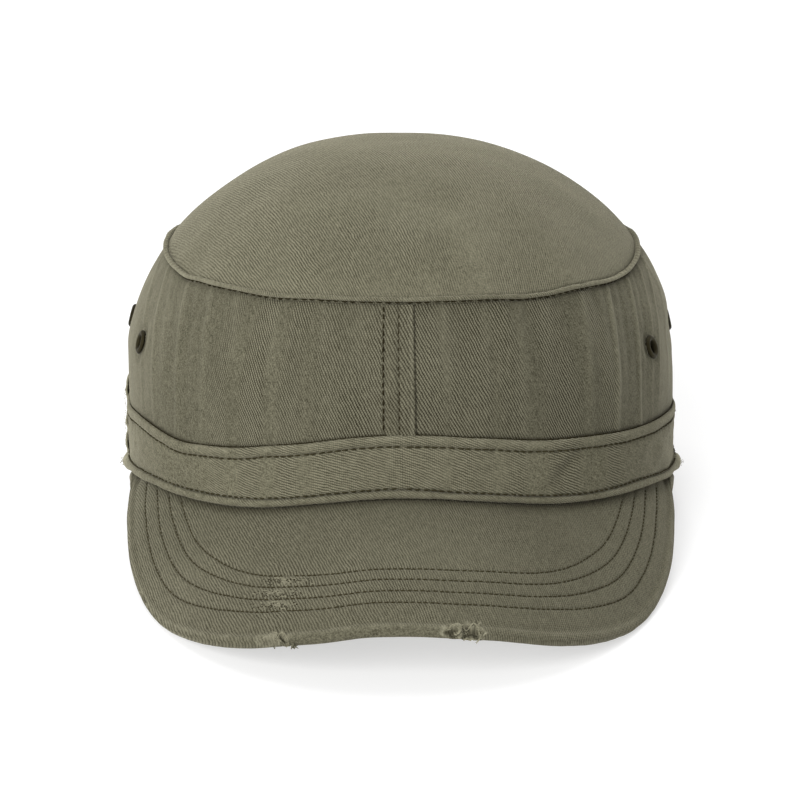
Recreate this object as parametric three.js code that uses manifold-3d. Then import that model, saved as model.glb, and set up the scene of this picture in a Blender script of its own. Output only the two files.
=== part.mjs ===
// A soft military cap of olive twill: an oval domed top, a leaning side wall in two panels, a raised
// ridge round the rim, a sewn band, a rolled edge below it and a short stiff peak, with two eyelets
// for air on each side. Millimetres, +Z up, the peak towards -Y and the wearer's left towards +X.
// The cap stands by itself: it is modelled level, as it is worn, and then tipped back until it rests
// on the peak's two low corners and on the back of its rolled edge, where the cloth is pressed flat.
import * as THREE from "three";
import { mergeVertices } from "three/addons/utils/BufferGeometryUtils.js";
import Module from "manifold-3d";

const wasm = await Module();
wasm.setup();

const DEG = Math.PI / 180;
const GAP = 0.3; // between one sewn piece and the next

// The opening's oval, measured on the wall's outside.
const opening = { halfWidth: 83.4, front: 99.5, back: 98.5, square: 2.1 };
// The rim's oval, where the wall meets the top.
const rim = { halfWidth: 72.2, front: 88, back: 87, square: 2.05 };
const rimHeight = 65.9; // above the wall's low edge at the sides
const wallCloth = 1.2;
const topCloth = 1.2;
const leanStart = 0.51; // share of the wall's height where it starts to lean in
const leanPower = 1.6;

const domeHeight = 30;
const domePower = 2.37;

const ridge = { across: 1.9, tall: 2.3 }; // the raised ridge round the rim
const rolled = { across: 3.1, tall: 3.1 }; // the rolled low edge, as wide as wall and band together
const band = { height: 15.2, cloth: 1.0, lipHeight: 3.2, lipCloth: 0.5 };

const peak = {
  span: 74, // degrees to each side of the front where it is sewn on
  halfWidth: 83.0,
  reach: 119, // from the ends of its outer edge to its tip, in plan
  square: 2.3,
  ends: 30, // how far in front of the middle its outer edge ends
  tuck: 0.8, // how far inside the wall's outside its root lies
  belly: 1.5, // how far its upper face bulges between its root and its edge
  thickness: 3.0,
  round: 0.9, // how far its edge bulges
};

// The felled seams: the front one's joint, its foot's middle and its slant up to the rim are distances
// to the right of the cap's middle.
const seam = { width: 9.8, cloth: 1.0, joint: -0.7, foot: -0.1, slant: -1.3 };
const eyelet = { flange: 3.7, barrel: 2.6, bore: 1.8, rise: 0.55 }; // radii, and its bulge
const eyeletPlaces = [
  { name: "right_front", side: -1, y: -33, height: 42.2 },
  { name: "right_rear", side: -1, y: 5, height: 42.5 },
  { name: "left_front", side: 1, y: -44, height: 43 },
  { name: "left_rear", side: 1, y: 5, height: 41.5 },
];
// The tab's low and high edge above the cap's low edge, its start behind the middle, and the height
// over which it steps in from the band to the wall.
const tab = { foot: 1.2, height: 23, start: 4, length: 24, cloth: 1.0, step: 2.5 };

const COLUMNS = 80; // sections round the cap
const WALL_ROWS = 7;
const TOP_RINGS = 8;
const PEAK_COLUMNS = 44;
const PEAK_ROWS = 8;
const SEAM_ROWS = 6;
const TAB_COLUMNS = 5;
const EYELET_SIDES = 14;
const press = 0.35; // how far the resting cloth is pressed flat

// Low edge of the cap round its side, lifted at the front where the stiff peak holds it up.
// turn: degrees from the front, lift: share of lowEdgeLift.
const lowEdgeLift = 10.6;
const LOW_EDGE = [
  { turn: 0, lift: 1.0 },
  { turn: 15, lift: 0.81 },
  { turn: 30, lift: 0.5 },
  { turn: 45, lift: 0.33 },
  { turn: 60, lift: 0.22 },
  { turn: 75, lift: 0.08 },
  { turn: 90, lift: 0 },
  { turn: 180, lift: 0 },
];

// Fall of the peak's outer edge below the cap's low edge at the sides.
// swing: degrees along the edge from its tip, drop: share of peakDrop.
const peakDrop = 24.5;
const PEAK_EDGE = [
  { swing: 0, drop: 0.56 },
  { swing: 13, drop: 0.64 },
  { swing: 28, drop: 0.85 },
  { swing: 43, drop: 0.98 },
  { swing: 55, drop: 1.0 },
  { swing: 66, drop: 0.85 },
  { swing: 76, drop: 0.57 },
  { swing: 84, drop: 0.24 },
  { swing: 90, drop: 0.02 },
];

// Height of the rim round the cap, which dips at the front corners and is drawn up at the sides.
// turn: degrees from the front, rise: share of rimRise.
const rimRise = 1.6;
const RIM_EDGE = [
  { turn: 0, rise: 0.1 },
  { turn: 25, rise: 0 },
  { turn: 60, rise: -0.6 },
  { turn: 90, rise: 0.3 },
  { turn: 130, rise: -0.8 },
  { turn: 180, rise: -1.0 },
];

// Soft upright folds of the wall. turn: degrees from the front, to the right; wide: degrees;
// depth: share of foldDepth, negative for a hollow.
const foldDepth = 1.0;
const foldStart = 0.3; // share of the wall's height
const FOLDS = [
  { turn: -62, wide: 5, depth: 0.8 },
  { turn: -50, wide: 5, depth: -0.9 },
  { turn: -38, wide: 6, depth: 0.7 },
  { turn: -24, wide: 6, depth: -0.6 },
  { turn: 22, wide: 6, depth: 0.5 },
  { turn: 34, wide: 5, depth: -0.9 },
  { turn: 45, wide: 5, depth: 0.8 },
  { turn: 57, wide: 5, depth: -1.0 },
  { turn: 69, wide: 5, depth: 0.8 },
  { turn: 118, wide: 8, depth: -0.8 },
  { turn: 140, wide: 8, depth: 0.7 },
  { turn: -116, wide: 8, depth: -0.8 },
  { turn: -141, wide: 8, depth: 0.7 },
];

// Reads a column of a table at any angle, with a smooth curve through its rows. The table runs from
// the front to one side, and both sides are alike.
function tableAt(rows, angleColumn, column, angle) {
  const at = Math.abs(THREE.MathUtils.euclideanModulo(angle / DEG + 180, 360) - 180);
  const last = rows.length - 1;
  let i = last - 1;
  while (i > 0 && rows[i][angleColumn] > at) i -= 1;
  const [a, b] = [rows[i], rows[i + 1]];
  const mirrored = (row, middle) => ({
    [angleColumn]: 2 * rows[middle][angleColumn] - row[angleColumn],
    [column]: row[column],
  });
  const before = rows[i - 1] ?? mirrored(rows[1], 0);
  const after = rows[i + 2] ?? mirrored(rows[last - 1], last);
  const step = b[angleColumn] - a[angleColumn];
  const share = (at - a[angleColumn]) / step;
  const slopeOver = (from, to) =>
    (step * (to[column] - from[column])) / (to[angleColumn] - from[angleColumn]);
  const slopeA = slopeOver(before, b);
  const slopeB = slopeOver(a, after);
  const s2 = share * share;
  const s3 = s2 * share;
  return (
    a[column] * (2 * s3 - 3 * s2 + 1) +
    slopeA * (s3 - 2 * s2 + share) +
    b[column] * (3 * s2 - 2 * s3) +
    slopeB * (s3 - s2)
  );
}

const lowEdge = (turn) => lowEdgeLift * tableAt(LOW_EDGE, "turn", "lift", turn);
const rimEdge = (turn) => rimHeight + rimRise * tableAt(RIM_EDGE, "turn", "rise", turn);
const wallFoot = (turn) => lowEdge(turn) + rolled.tall + GAP;

// A point on an oval with a front and a back of their own, turned from the front to the right.
function ovalAt(oval, turn) {
  const power = 2 / oval.square;
  const [s, c] = [Math.sin(turn), Math.cos(turn)];
  const reach = c > 0 ? oval.front : oval.back;
  return new THREE.Vector2(
    oval.halfWidth * Math.sign(s) * Math.abs(s) ** power,
    -reach * Math.sign(c) * Math.abs(c) ** power,
  );
}

function turnAtY(oval, y) {
  const reach = y < 0 ? oval.front : oval.back;
  return Math.acos(-Math.sign(y) * Math.abs(y / reach) ** (oval.square / 2));
}

const turnAtX = (oval, x) => Math.asin(Math.sign(x) * Math.abs(x / oval.halfWidth) ** (oval.square / 2));

// How far the wall has leaned in from the opening's oval to the rim's, at a share of its height.
function leanAt(share) {
  return Math.max(0, (share - leanStart) / (1 - leanStart)) ** leanPower;
}

// The folds swell between the band's upper edge and the rim.
function foldAt(turn, share) {
  const above = THREE.MathUtils.clamp((share - foldStart) / (1 - foldStart), 0, 1);
  const swell = Math.sin(Math.PI * above) ** 0.8;
  let sum = 0;
  for (const fold of FOLDS) {
    const off = THREE.MathUtils.euclideanModulo(turn / DEG - fold.turn + 180, 360) - 180;
    sum += fold.depth * Math.exp(-((off / fold.wide) ** 2));
  }
  return foldDepth * sum * swell;
}

// Plan point of the wall's outside with its outward direction, moved out by a distance.
function wallPlan(turn, share, out) {
  const lean = leanAt(share);
  const at = (t) => ovalAt(opening, t).lerp(ovalAt(rim, t), lean);
  const step = 0.5 * DEG;
  const along = at(turn + step).sub(at(turn - step)).normalize();
  const outward = new THREE.Vector2(along.y, -along.x);
  return at(turn).addScaledVector(outward, out + foldAt(turn, share));
}

// A point of the wall, at a share of the height from its foot to the rim, moved out by a distance.
function wallPoint(turn, share, out) {
  const foot = wallFoot(turn);
  const plan = wallPlan(turn, share, out);
  return new THREE.Vector3(plan.x, plan.y, foot + share * (rimEdge(turn) - foot));
}

const shareAt = (turn, z) => (z - wallFoot(turn)) / (rimEdge(turn) - wallFoot(turn));

// A closed body through a row of sections, each a loop of points. The row closes on itself, or each
// end is filled by the triangles of a flat outline with as many points as a section.
function bodyThrough(sections, endOutline) {
  const count = sections[0].length;
  const positions = sections.flat().flatMap((p) => [p.x, p.y, p.z]);
  const index = [];
  const rows = endOutline ? sections.length - 1 : sections.length;
  for (let i = 0; i < rows; i += 1) {
    const next = (i + 1) % sections.length;
    for (let j = 0; j < count; j += 1) {
      const k = (j + 1) % count;
      const [a, b, c, d] = [i * count + j, i * count + k, next * count + k, next * count + j];
      index.push(a, b, c, a, c, d);
    }
  }
  if (endOutline) {
    const last = (sections.length - 1) * count;
    const inOrder = THREE.ShapeUtils.isClockWise(endOutline);
    for (const [a, b, c] of THREE.ShapeUtils.triangulateShape(endOutline, [])) {
      const [first, second] = inOrder ? [b, c] : [c, b];
      index.push(a, first, second, last + a, last + second, last + first);
    }
  }
  return facingOut(positions, index);
}

// Geometry of merged points whose faces point outwards, without faces that have no area.
function facingOut(positions, index) {
  const loose = new THREE.BufferGeometry();
  loose.setAttribute("position", new THREE.Float32BufferAttribute(positions, 3));
  loose.setIndex(index);
  const merged = mergeVertices(loose, 1e-4);
  const kept = [];
  const corners = merged.index.array;
  for (let i = 0; i < corners.length; i += 3) {
    const [a, b, c] = corners.slice(i, i + 3);
    if (a !== b && b !== c && c !== a) kept.push(a, b, c);
  }
  const p = merged.attributes.position;
  const corner = (i) => new THREE.Vector3().fromBufferAttribute(p, i);
  let volume = 0;
  for (let i = 0; i < kept.length; i += 3)
    volume += corner(kept[i]).dot(corner(kept[i + 1]).cross(corner(kept[i + 2])));
  if (volume < 0)
    for (let i = 0; i < kept.length; i += 3)
      [kept[i + 1], kept[i + 2]] = [kept[i + 2], kept[i + 1]];
  merged.setIndex(kept);
  return merged;
}

// Cuts tools out of a geometry.
function cutFrom(geometry, tools) {
  const solidOf = (source) => {
    const bare = source.clone();
    bare.deleteAttribute("normal");
    bare.deleteAttribute("uv");
    const merged = mergeVertices(bare, 1e-4);
    return new wasm.Manifold(
      new wasm.Mesh({
        numProp: 3,
        vertProperties: merged.attributes.position.array,
        triVerts: new Uint32Array(merged.index.array),
      }),
    );
  };
  let solid = solidOf(geometry);
  for (const tool of tools) solid = solid.subtract(solidOf(tool));
  const mesh = solid.getMesh();
  const cut = new THREE.BufferGeometry();
  cut.setAttribute("position", new THREE.BufferAttribute(mesh.vertProperties, 3));
  cut.setIndex(new THREE.BufferAttribute(mesh.triVerts, 1));
  return cut;
}

const turns = (from, to, steps) =>
  Array.from({ length: steps + 1 }, (_, i) => from + ((to - from) * i) / steps);
const allRound = turns(0, 2 * Math.PI, COLUMNS).slice(0, COLUMNS);
const shares = (steps) => turns(0, 1, steps);

// One panel of the wall, from one turn to another.
function wallPanel(from, to, steps) {
  const up = shares(WALL_ROWS);
  const sections = turns(from, to, steps).map((turn) => [
    ...up.map((share) => wallPoint(turn, share, 0)),
    ...up.toReversed().map((share) => wallPoint(turn, share, -wallCloth)),
  ]);
  const outline = [
    ...up.map((share) => new THREE.Vector2(0, share * rimHeight)),
    ...up.toReversed().map((share) => new THREE.Vector2(-wallCloth, share * rimHeight)),
  ];
  return bodyThrough(sections, outline);
}

// The domed top: an outer and an inner face that meet at a low upright edge over the wall.
const topEdge = GAP + topCloth * Math.hypot(1, (domeHeight * domePower) / rim.halfWidth);

function topOutside(turn, share) {
  const plan = ovalAt(rim, turn).multiplyScalar(share);
  const drawn = (rimEdge(turn) - rimHeight) * share ** 3;
  return new THREE.Vector3(
    plan.x,
    plan.y,
    rimHeight + topEdge + drawn + domeHeight * (1 - share ** domePower),
  );
}

function topShell() {
  const spread = shares(TOP_RINGS).map((s) => s ** 0.8);
  const sections = allRound.map((turn) => {
    const outer = spread.map((share) => topOutside(turn, share));
    const inner = spread.toReversed().map((share) => {
      const steep = (domeHeight * domePower * share ** (domePower - 1)) / rim.halfWidth;
      const point = topOutside(turn, share);
      return point.setZ(point.z - topCloth * Math.hypot(1, steep));
    });
    return [...outer, ...inner];
  });
  // Each section's loop closes through the dome's axis, where its two faces cancel.
  const count = sections[0].length;
  const positions = sections.flat().flatMap((p) => [p.x, p.y, p.z]);
  const index = [];
  for (let i = 0; i < sections.length; i += 1) {
    const next = (i + 1) % sections.length;
    for (let j = 0; j < count - 1; j += 1) {
      const [a, b, c, d] = [i * count + j, i * count + j + 1, next * count + j + 1, next * count + j];
      index.push(a, b, c, a, c, d);
    }
  }
  return facingOut(positions, index);
}

// A ring round the cap whose section is a list of [out, up] points on the wall's outside.
function ringOf(outline, base, shareOf) {
  const sections = allRound.map((turn) =>
    outline.map(([out, up]) => {
      const plan = wallPlan(turn, shareOf, out);
      return new THREE.Vector3(plan.x, plan.y, base(turn) + up);
    }),
  );
  return bodyThrough(sections);
}

function rimRidge() {
  const [half, tall] = [ridge.across / 2, ridge.tall];
  const inner = GAP;
  return ringOf(
    [
      [inner, 0],
      [inner + half, -0.1 * tall],
      [inner + 2 * half, 0.25 * tall],
      [inner + 2 * half, 0.7 * tall],
      [inner + half, 1.02 * tall],
      [inner, 0.9 * tall],
    ],
    rimEdge,
    1,
  );
}

function bandRing() {
  const { height, cloth, lipHeight, lipCloth } = band;
  const lipFoot = height - lipHeight;
  const outline = [
    [GAP, 0],
    [GAP + cloth, 0],
    [GAP + cloth, lipFoot - lipCloth / 2],
    [GAP + cloth + lipCloth, lipFoot + lipCloth],
    [GAP + cloth + lipCloth, height - lipCloth],
    [GAP + cloth, height],
    [GAP, height],
  ];
  return ringOf(outline, wallFoot, 0);
}

function rolledEdge() {
  const { across, tall } = rolled;
  const inside = GAP + band.cloth + band.lipCloth - across; // its outside is flush with the lip
  return ringOf(
    [
      [inside, 0.2 * tall],
      [inside + 0.2 * across, 0],
      [inside + 0.8 * across, 0],
      [inside + across, 0.3 * tall],
      [inside + across, 0.7 * tall],
      [inside + 0.8 * across, tall],
      [inside, tall],
    ],
    lowEdge,
    0,
  );
}

// The peak's outer edge, on its upper face: the share across runs from -1 at one end to 1 at the other.
function peakEdge(across) {
  const power = 2 / peak.square;
  const swing = across * 90 * DEG;
  return new THREE.Vector3(
    peak.halfWidth * Math.sign(across) * Math.abs(Math.sin(swing)) ** power,
    -peak.ends - peak.reach * Math.abs(Math.cos(swing)) ** power,
    -GAP - peakDrop * tableAt(PEAK_EDGE, "swing", "drop", swing),
  );
}

// A point of the peak's upper face, out from its root under the rolled edge to its outer edge.
function peakPoint(across, out) {
  const turn = across * peak.span * DEG;
  const plan = wallPlan(turn, 0, -peak.tuck);
  const root = new THREE.Vector3(plan.x, plan.y, lowEdge(turn) - GAP);
  const bulge = peak.belly * Math.sin(Math.PI * out) * Math.cos((across * Math.PI) / 2);
  const point = root.lerp(peakEdge(across), out);
  return point.setZ(point.z + bulge);
}

function peakBody() {
  const rows = shares(PEAK_ROWS);
  const step = 0.01;
  const under = (across, out) => {
    const a = peakPoint(Math.max(-1, across - step), out);
    const b = peakPoint(Math.min(1, across + step), out);
    const c = peakPoint(across, Math.max(0, out - step));
    const d = peakPoint(across, Math.min(1, out + step));
    const normal = b.sub(a).cross(d.sub(c)).normalize();
    return peakPoint(across, out).addScaledVector(normal, normal.z > 0 ? -peak.thickness : peak.thickness);
  };
  const sections = turns(-1, 1, PEAK_COLUMNS).map((across) => {
    const upper = rows.map((out) => peakPoint(across, out));
    const lower = rows.toReversed().map((out) => under(across, out));
    const [rimPoint, underRim] = [upper.at(-1), lower[0]];
    const outward = rimPoint.clone().sub(upper.at(-2)).normalize();
    const edge = rimPoint.clone().lerp(underRim, 0.5).addScaledVector(outward, peak.round);
    return [...upper, edge, ...lower];
  });
  const outline = [
    ...rows.map((out) => new THREE.Vector2(out, 0)),
    new THREE.Vector2(1.1, -0.5),
    ...rows.toReversed().map((out) => new THREE.Vector2(out, -1)),
  ];
  return bodyThrough(sections, outline);
}

// A felled seam: a narrow strip of the wall's own cloth over the joint between two panels. Its middle
// starts at a distance to the right at the band and slants by another up to the rim.
function seamStrip(isFront, foot, slant) {
  const across = [-0.5, 0, 0.5];
  const sections = shares(SEAM_ROWS).map((step) => {
    const loop = (out, order) =>
      order.map((side) => {
        const fromFront = turnAtX(opening, foot + slant * step + side * seam.width);
        const turn = isFront ? fromFront : Math.PI - fromFront;
        const low = shareAt(turn, wallFoot(turn) + band.height + GAP);
        const high = shareAt(turn, rimEdge(turn) - GAP);
        return wallPoint(turn, THREE.MathUtils.lerp(low, high, step), out);
      });
    return [...loop(GAP, across), ...loop(GAP + seam.cloth, across.toReversed())];
  });
  const outline = [
    ...across.map((side) => new THREE.Vector2(side, 0)),
    ...across.toReversed().map((side) => new THREE.Vector2(side, 1)),
  ];
  return bodyThrough(sections, outline);
}

// The raw-edged tab sewn over wall and band on the wearer's right.
function sideTab() {
  const overBand = GAP + band.cloth + band.lipCloth + GAP;
  const overWall = 2 * GAP;
  const bandTop = rolled.tall + GAP + band.height;
  const outline = [
    [overBand, tab.foot],
    [overBand, bandTop],
    [overWall, bandTop + tab.step],
    [overWall, tab.height],
    [overWall + tab.cloth, tab.height],
    [overWall + tab.cloth, bandTop + tab.step + GAP],
    [overBand + tab.cloth, bandTop],
    [overBand + tab.cloth, tab.foot],
  ];
  const start = -turnAtY(opening, tab.start);
  const end = -turnAtY(opening, tab.start + tab.length);
  const sections = turns(start, end, TAB_COLUMNS).map((turn) =>
    outline.map(([out, up]) => {
      const z = lowEdge(turn) + up;
      const plan = wallPlan(turn, Math.max(0, shareAt(turn, z)), out);
      return new THREE.Vector3(plan.x, plan.y, z);
    }),
  );
  return bodyThrough(
    sections,
    outline.map(([out, up]) => new THREE.Vector2(out, up)),
  );
}

// Where an eyelet sits: its middle on the wall's outside and its outward direction.
function eyeletSeat({ side, y, height }) {
  const turn = side * turnAtY(opening, y);
  const share = shareAt(turn, height);
  const step = 2 * DEG;
  const point = wallPoint(turn, share, 0);
  const along = wallPoint(turn + step, share, 0).sub(wallPoint(turn - step, share, 0));
  const up = wallPoint(turn, share + 0.04, 0).sub(wallPoint(turn, share - 0.04, 0));
  const outward = along.cross(up).normalize();
  if (outward.x * side < 0) outward.negate();
  return { point, outward };
}

const lyingToOutward = (outward) =>
  new THREE.Quaternion().setFromUnitVectors(new THREE.Vector3(0, 1, 0), outward);

function eyeletRing() {
  const { flange, barrel, bore, rise } = eyelet;
  const inner = -wallCloth - GAP - 0.25;
  const profile = [
    [bore, inner - rise * 0.6],
    [flange * 0.9, inner - rise * 0.4],
    [flange * 0.9, inner],
    [barrel, inner],
    [barrel, GAP],
    [flange, GAP],
    [flange * 0.92, GAP + rise * 0.8],
    [(flange + bore) / 2, GAP + rise],
    [bore * 1.1, GAP + rise * 0.7],
    [bore, GAP],
  ].map(([r, h]) => new THREE.Vector2(r, h));
  const closed = [...profile, profile[0].clone()];
  return new THREE.LatheGeometry(closed, EYELET_SIDES);
}

const twill = (color) => new THREE.MeshStandardMaterial({ color, roughness: 0.92, metalness: 0 });
const cloth = {
  top: twill(0x76735f),
  wall: twill(0x6d6a57),
  band: twill(0x74715d),
  peak: twill(0x6b6855),
};
const metal = new THREE.MeshStandardMaterial({ color: 0x3a3728, roughness: 0.45, metalness: 0.8 });

const hat = new THREE.Group();

function add(name, geometry, material) {
  const mesh = new THREE.Mesh(geometry, material);
  mesh.name = name;
  hat.add(mesh);
  return mesh;
}

const seats = eyeletPlaces.map((place) => ({ ...place, ...eyeletSeat(place) }));

// The tools that cut the eyelets' holes on one side of the wall.
function eyeletHoles(side) {
  return seats
    .filter((seat) => seat.side === side)
    .map((seat) => {
      const drill = new THREE.CylinderGeometry(eyelet.barrel + GAP, eyelet.barrel + GAP, 12, EYELET_SIDES);
      drill.applyQuaternion(lyingToOutward(seat.outward));
      return drill.translate(seat.point.x, seat.point.y, seat.point.z);
    });
}

const frontJoint = turnAtX(opening, seam.joint);
const halfGap = GAP / 2 / opening.front;
const half = COLUMNS / 2;
const rightPanel = wallPanel(-Math.PI + halfGap, frontJoint - halfGap, half);
const leftPanel = wallPanel(frontJoint + halfGap, Math.PI - halfGap, half);

add("crown_top", topShell(), cloth.top);
add("rim_ridge", rimRidge(), cloth.top);
add("wall_panel_right", cutFrom(rightPanel, eyeletHoles(-1)), cloth.wall);
add("wall_panel_left", cutFrom(leftPanel, eyeletHoles(1)), cloth.wall);
add("front_seam", seamStrip(true, seam.foot, seam.slant), cloth.wall);
add("back_seam", seamStrip(false, 0, 0), cloth.wall);
add("band", bandRing(), cloth.band);
add("rolled_edge", rolledEdge(), cloth.band);
add("side_tab", sideTab(), cloth.band);
const peakMesh = add("peak", peakBody(), cloth.peak);
for (const seat of seats) {
  const ring = add(`eyelet_${seat.name}`, eyeletRing(), metal);
  ring.position.copy(seat.point);
  ring.quaternion.copy(lyingToOutward(seat.outward));
}

// Lowest height of a mesh's points once the cap is tipped back, of those behind or before the middle.
function lowestOf(mesh, tilt, behind) {
  const turned = new THREE.Matrix4().makeRotationX(-tilt);
  const p = mesh.geometry.attributes.position;
  let low = Infinity;
  for (let i = 0; i < p.count; i += 1) {
    const point = new THREE.Vector3().fromBufferAttribute(p, i);
    if (point.y > 0 === behind) low = Math.min(low, point.applyMatrix4(turned).z);
  }
  return low;
}

// The tilt at which the peak's low corners and the back of the rolled edge come down together.
function restingTilt() {
  const rolledMesh = hat.getObjectByName("rolled_edge");
  let [less, more] = [0, 25 * DEG];
  for (let i = 0; i < 40; i += 1) {
    const middle = (less + more) / 2;
    if (lowestOf(peakMesh, middle, false) < lowestOf(rolledMesh, middle, true)) less = middle;
    else more = middle;
  }
  return { tilt: less, low: lowestOf(peakMesh, less, false) };
}

const rest = restingTilt();
hat.rotation.x = -rest.tilt;
hat.position.z = -rest.low - press;
hat.updateMatrixWorld(true);
const box = new THREE.Box3().setFromObject(hat, true);
hat.position.y = -(box.min.y + box.max.y) / 2;
hat.updateMatrixWorld(true);

// Presses flat whatever would lie below the surface that the cap stands on.
for (const name of ["peak", "rolled_edge"]) {
  const mesh = hat.getObjectByName(name);
  const back = mesh.matrixWorld.clone().invert();
  const p = mesh.geometry.attributes.position;
  for (let i = 0; i < p.count; i += 1) {
    const point = new THREE.Vector3().fromBufferAttribute(p, i).applyMatrix4(mesh.matrixWorld);
    point.z = Math.max(point.z, 0);
    point.applyMatrix4(back);
    p.setXYZ(i, point.x, point.y, point.z);
  }
}

const cap = new THREE.Group();
cap.add(hat);

export default cap;
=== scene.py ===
from math import cos, pi, radians, sin

import bmesh
import bpy
import numpy as np
from mathutils import Matrix, Vector


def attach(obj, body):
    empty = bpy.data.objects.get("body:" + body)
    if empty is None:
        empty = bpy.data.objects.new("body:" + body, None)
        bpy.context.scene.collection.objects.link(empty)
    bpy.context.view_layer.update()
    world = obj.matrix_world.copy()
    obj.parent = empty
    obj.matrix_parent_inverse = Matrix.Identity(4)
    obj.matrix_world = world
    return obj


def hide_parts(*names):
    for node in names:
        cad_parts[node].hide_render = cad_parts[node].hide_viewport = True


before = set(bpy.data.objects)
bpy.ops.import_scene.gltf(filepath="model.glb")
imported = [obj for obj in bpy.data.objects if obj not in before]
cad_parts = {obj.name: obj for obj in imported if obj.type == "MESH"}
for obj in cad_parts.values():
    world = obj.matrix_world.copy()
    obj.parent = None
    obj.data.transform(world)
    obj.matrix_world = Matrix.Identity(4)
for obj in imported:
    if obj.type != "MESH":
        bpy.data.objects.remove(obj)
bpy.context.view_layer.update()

MM = 0.001
GAP = 0.3

# How the cap stands: tipped back, lifted, and moved so that its box is centred.
TILT = radians(7.542)
LIFT = 12.734
BEHIND = 23.21

# The ovals of the opening and of the rim: half width, reach to the front and back, squareness.
OPENING = dict(half_width=83.4, front=99.5, back=98.5, square=2.1)
RIM = dict(half_width=72.2, front=88, back=87, square=2.05)
RIM_HEIGHT = 65.9
RIM_RISE = 1.6
LOW_EDGE_LIFT = 10.6
LEAN_START = 0.51
LEAN_POWER = 1.6
DOME_HEIGHT = 30
DOME_POWER = 2.37
DOME_STEEP = DOME_HEIGHT * DOME_POWER / RIM["half_width"]
WALL_GIRTH = 575  # round the opening
RIM_GIRTH = 500
WEAVE_DRAWN = 0.134  # share by which the weave narrows up to the rim
WALL_CLOTH = 1.2
TOP_CLOTH = 1.2
BAND_HEIGHT = 15.2
LIP_HEIGHT = 3.2
ROLL = 3.1
PEAK = dict(
    span=74, half_width=83.0, reach=119, square=2.3, ends=30,
    tuck=0.8, belly=1.5, thickness=3.0, drop=24.5,
)
SEAM = dict(width=9.8, joint=-0.7, foot=-0.7, slant=-0.5)
EYELET = dict(flange=3.7, barrel=2.6, bore=1.8, rise=0.55)
EYELETS = [
    ("right_front", -1, -33, 42.2),
    ("right_rear", -1, 5, 42.5),
    ("left_front", 1, -44, 43),
    ("left_rear", 1, 5, 41.5),
]
EYELET_DENT = dict(radius=4.2, width=1.6, depth=0.35)
TAB = dict(foot=1.2, height=23, start=4, length=24, cloth=1.0, step=2.5)

# Angle in degrees from the front, or along the peak's edge from its tip, and the share of a size.
LOW_EDGE = [(0, 1.0), (15, 0.81), (30, 0.5), (45, 0.33), (60, 0.22), (75, 0.08), (90, 0), (180, 0)]
RIM_EDGE = [(0, 0.1), (25, 0), (60, -0.6), (90, 0.3), (130, -0.8), (180, -1.0)]
PEAK_EDGE = [
    (0, 0.56), (13, 0.64), (28, 0.85), (43, 0.98), (55, 1.0),
    (66, 0.85), (76, 0.57), (84, 0.24), (90, 0.02),
]

# Soft upright folds of the wall: turn to the right in degrees, width in degrees, depth in mm.
FOLD_START = 0.3
FOLD_ROUND = 0.8
FOLDS = [
    (-62, 5, 0.4), (-50, 5, -0.4), (-38, 6, 0.35), (-24, 6, -0.35), (22, 6, 0.4), (34, 5, -0.45),
    (45, 5, 0.4), (57, 5, -0.5), (69, 5, 0.4), (118, 8, -0.8), (140, 8, 0.7), (-116, 8, -0.8),
    (-141, 8, 0.7),
]

# How far the rim hangs below its even line: turn, and the drop in mm.
RIM_SAG = [
    (-180, 0), (-120, 0), (-95, 0.6), (-75, 1.4), (-62, 1.7), (-56, 0.8), (-48, 0.4), (-40, 0.5),
    (-30, 1.2), (-20, 0.5), (0, 0.3), (20, 0.4), (28, 1.2), (36, 1.3), (43, 0.75), (50, 0.85),
    (60, 1.8), (68, 2.1), (78, 1.6), (95, 0.8), (120, 0), (180, 0),
]

# How far the band and the rolled edge hang below their even lines: turn, and the drop in mm, at the
# band's lip, at the line between them, and at the roll's low side.
LIP_SAG = [
    (-180, 0), (-100, 0), (-84, 0.3), (-78, -0.2), (-72, -0.6), (-66, -0.1), (-60, 0.85), (-54, 1.8),
    (-48, 2.2), (-42, 2.05), (-36, 1.35), (-30, 0.95), (-18, 0.6), (-12, 0.1), (0, -0.3), (12, -0.4),
    (18, -0.6), (24, -1.0), (36, -1.4), (42, -1.35), (48, -1.1), (54, -0.65), (60, -0.5), (66, -0.7),
    (72, -0.8), (80, -0.3), (95, 0), (180, 0),
]
FOOT_SAG = [
    (-180, 0), (-112, 0.3), (-92, 2.6), (-84, 2.1), (-78, 1.6), (-72, 1.0), (-66, 0.7), (-60, 0.6),
    (-48, 0.8), (-36, 1.1), (-18, 1.2), (-12, 0.7), (0, 0.3), (6, 0.6), (18, 0.45), (27, 0.25),
    (40, 0.5), (48, 0.4), (54, 0.15), (60, 0.6), (66, 1.25), (72, 1.9), (78, 2.3), (84, 2.6),
    (92, 2.8), (112, 0.3), (180, 0),
]
ROLL_SAG = [
    (-180, 0), (-112, 0.3), (-92, 3.2), (-84, 2.6), (-76, 1.4), (-70, 0.4), (-60, 0), (-48, 0.3),
    (-24, 0.4), (-12, 0), (0, -0.25), (12, -0.5), (30, -0.65), (48, -0.3), (60, 0), (66, 0.6),
    (74, 1.8), (84, 2.8), (92, 3.2), (112, 0.3), (180, 0),
]
NUB_TURN = 85.5  # where the rolled edge is bunched up at each side, in degrees from the front
NUB_WIDTH = 3.2
SAG_SPAN = 12  # height of the band over which the sag of its foot passes into that of its lip

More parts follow.
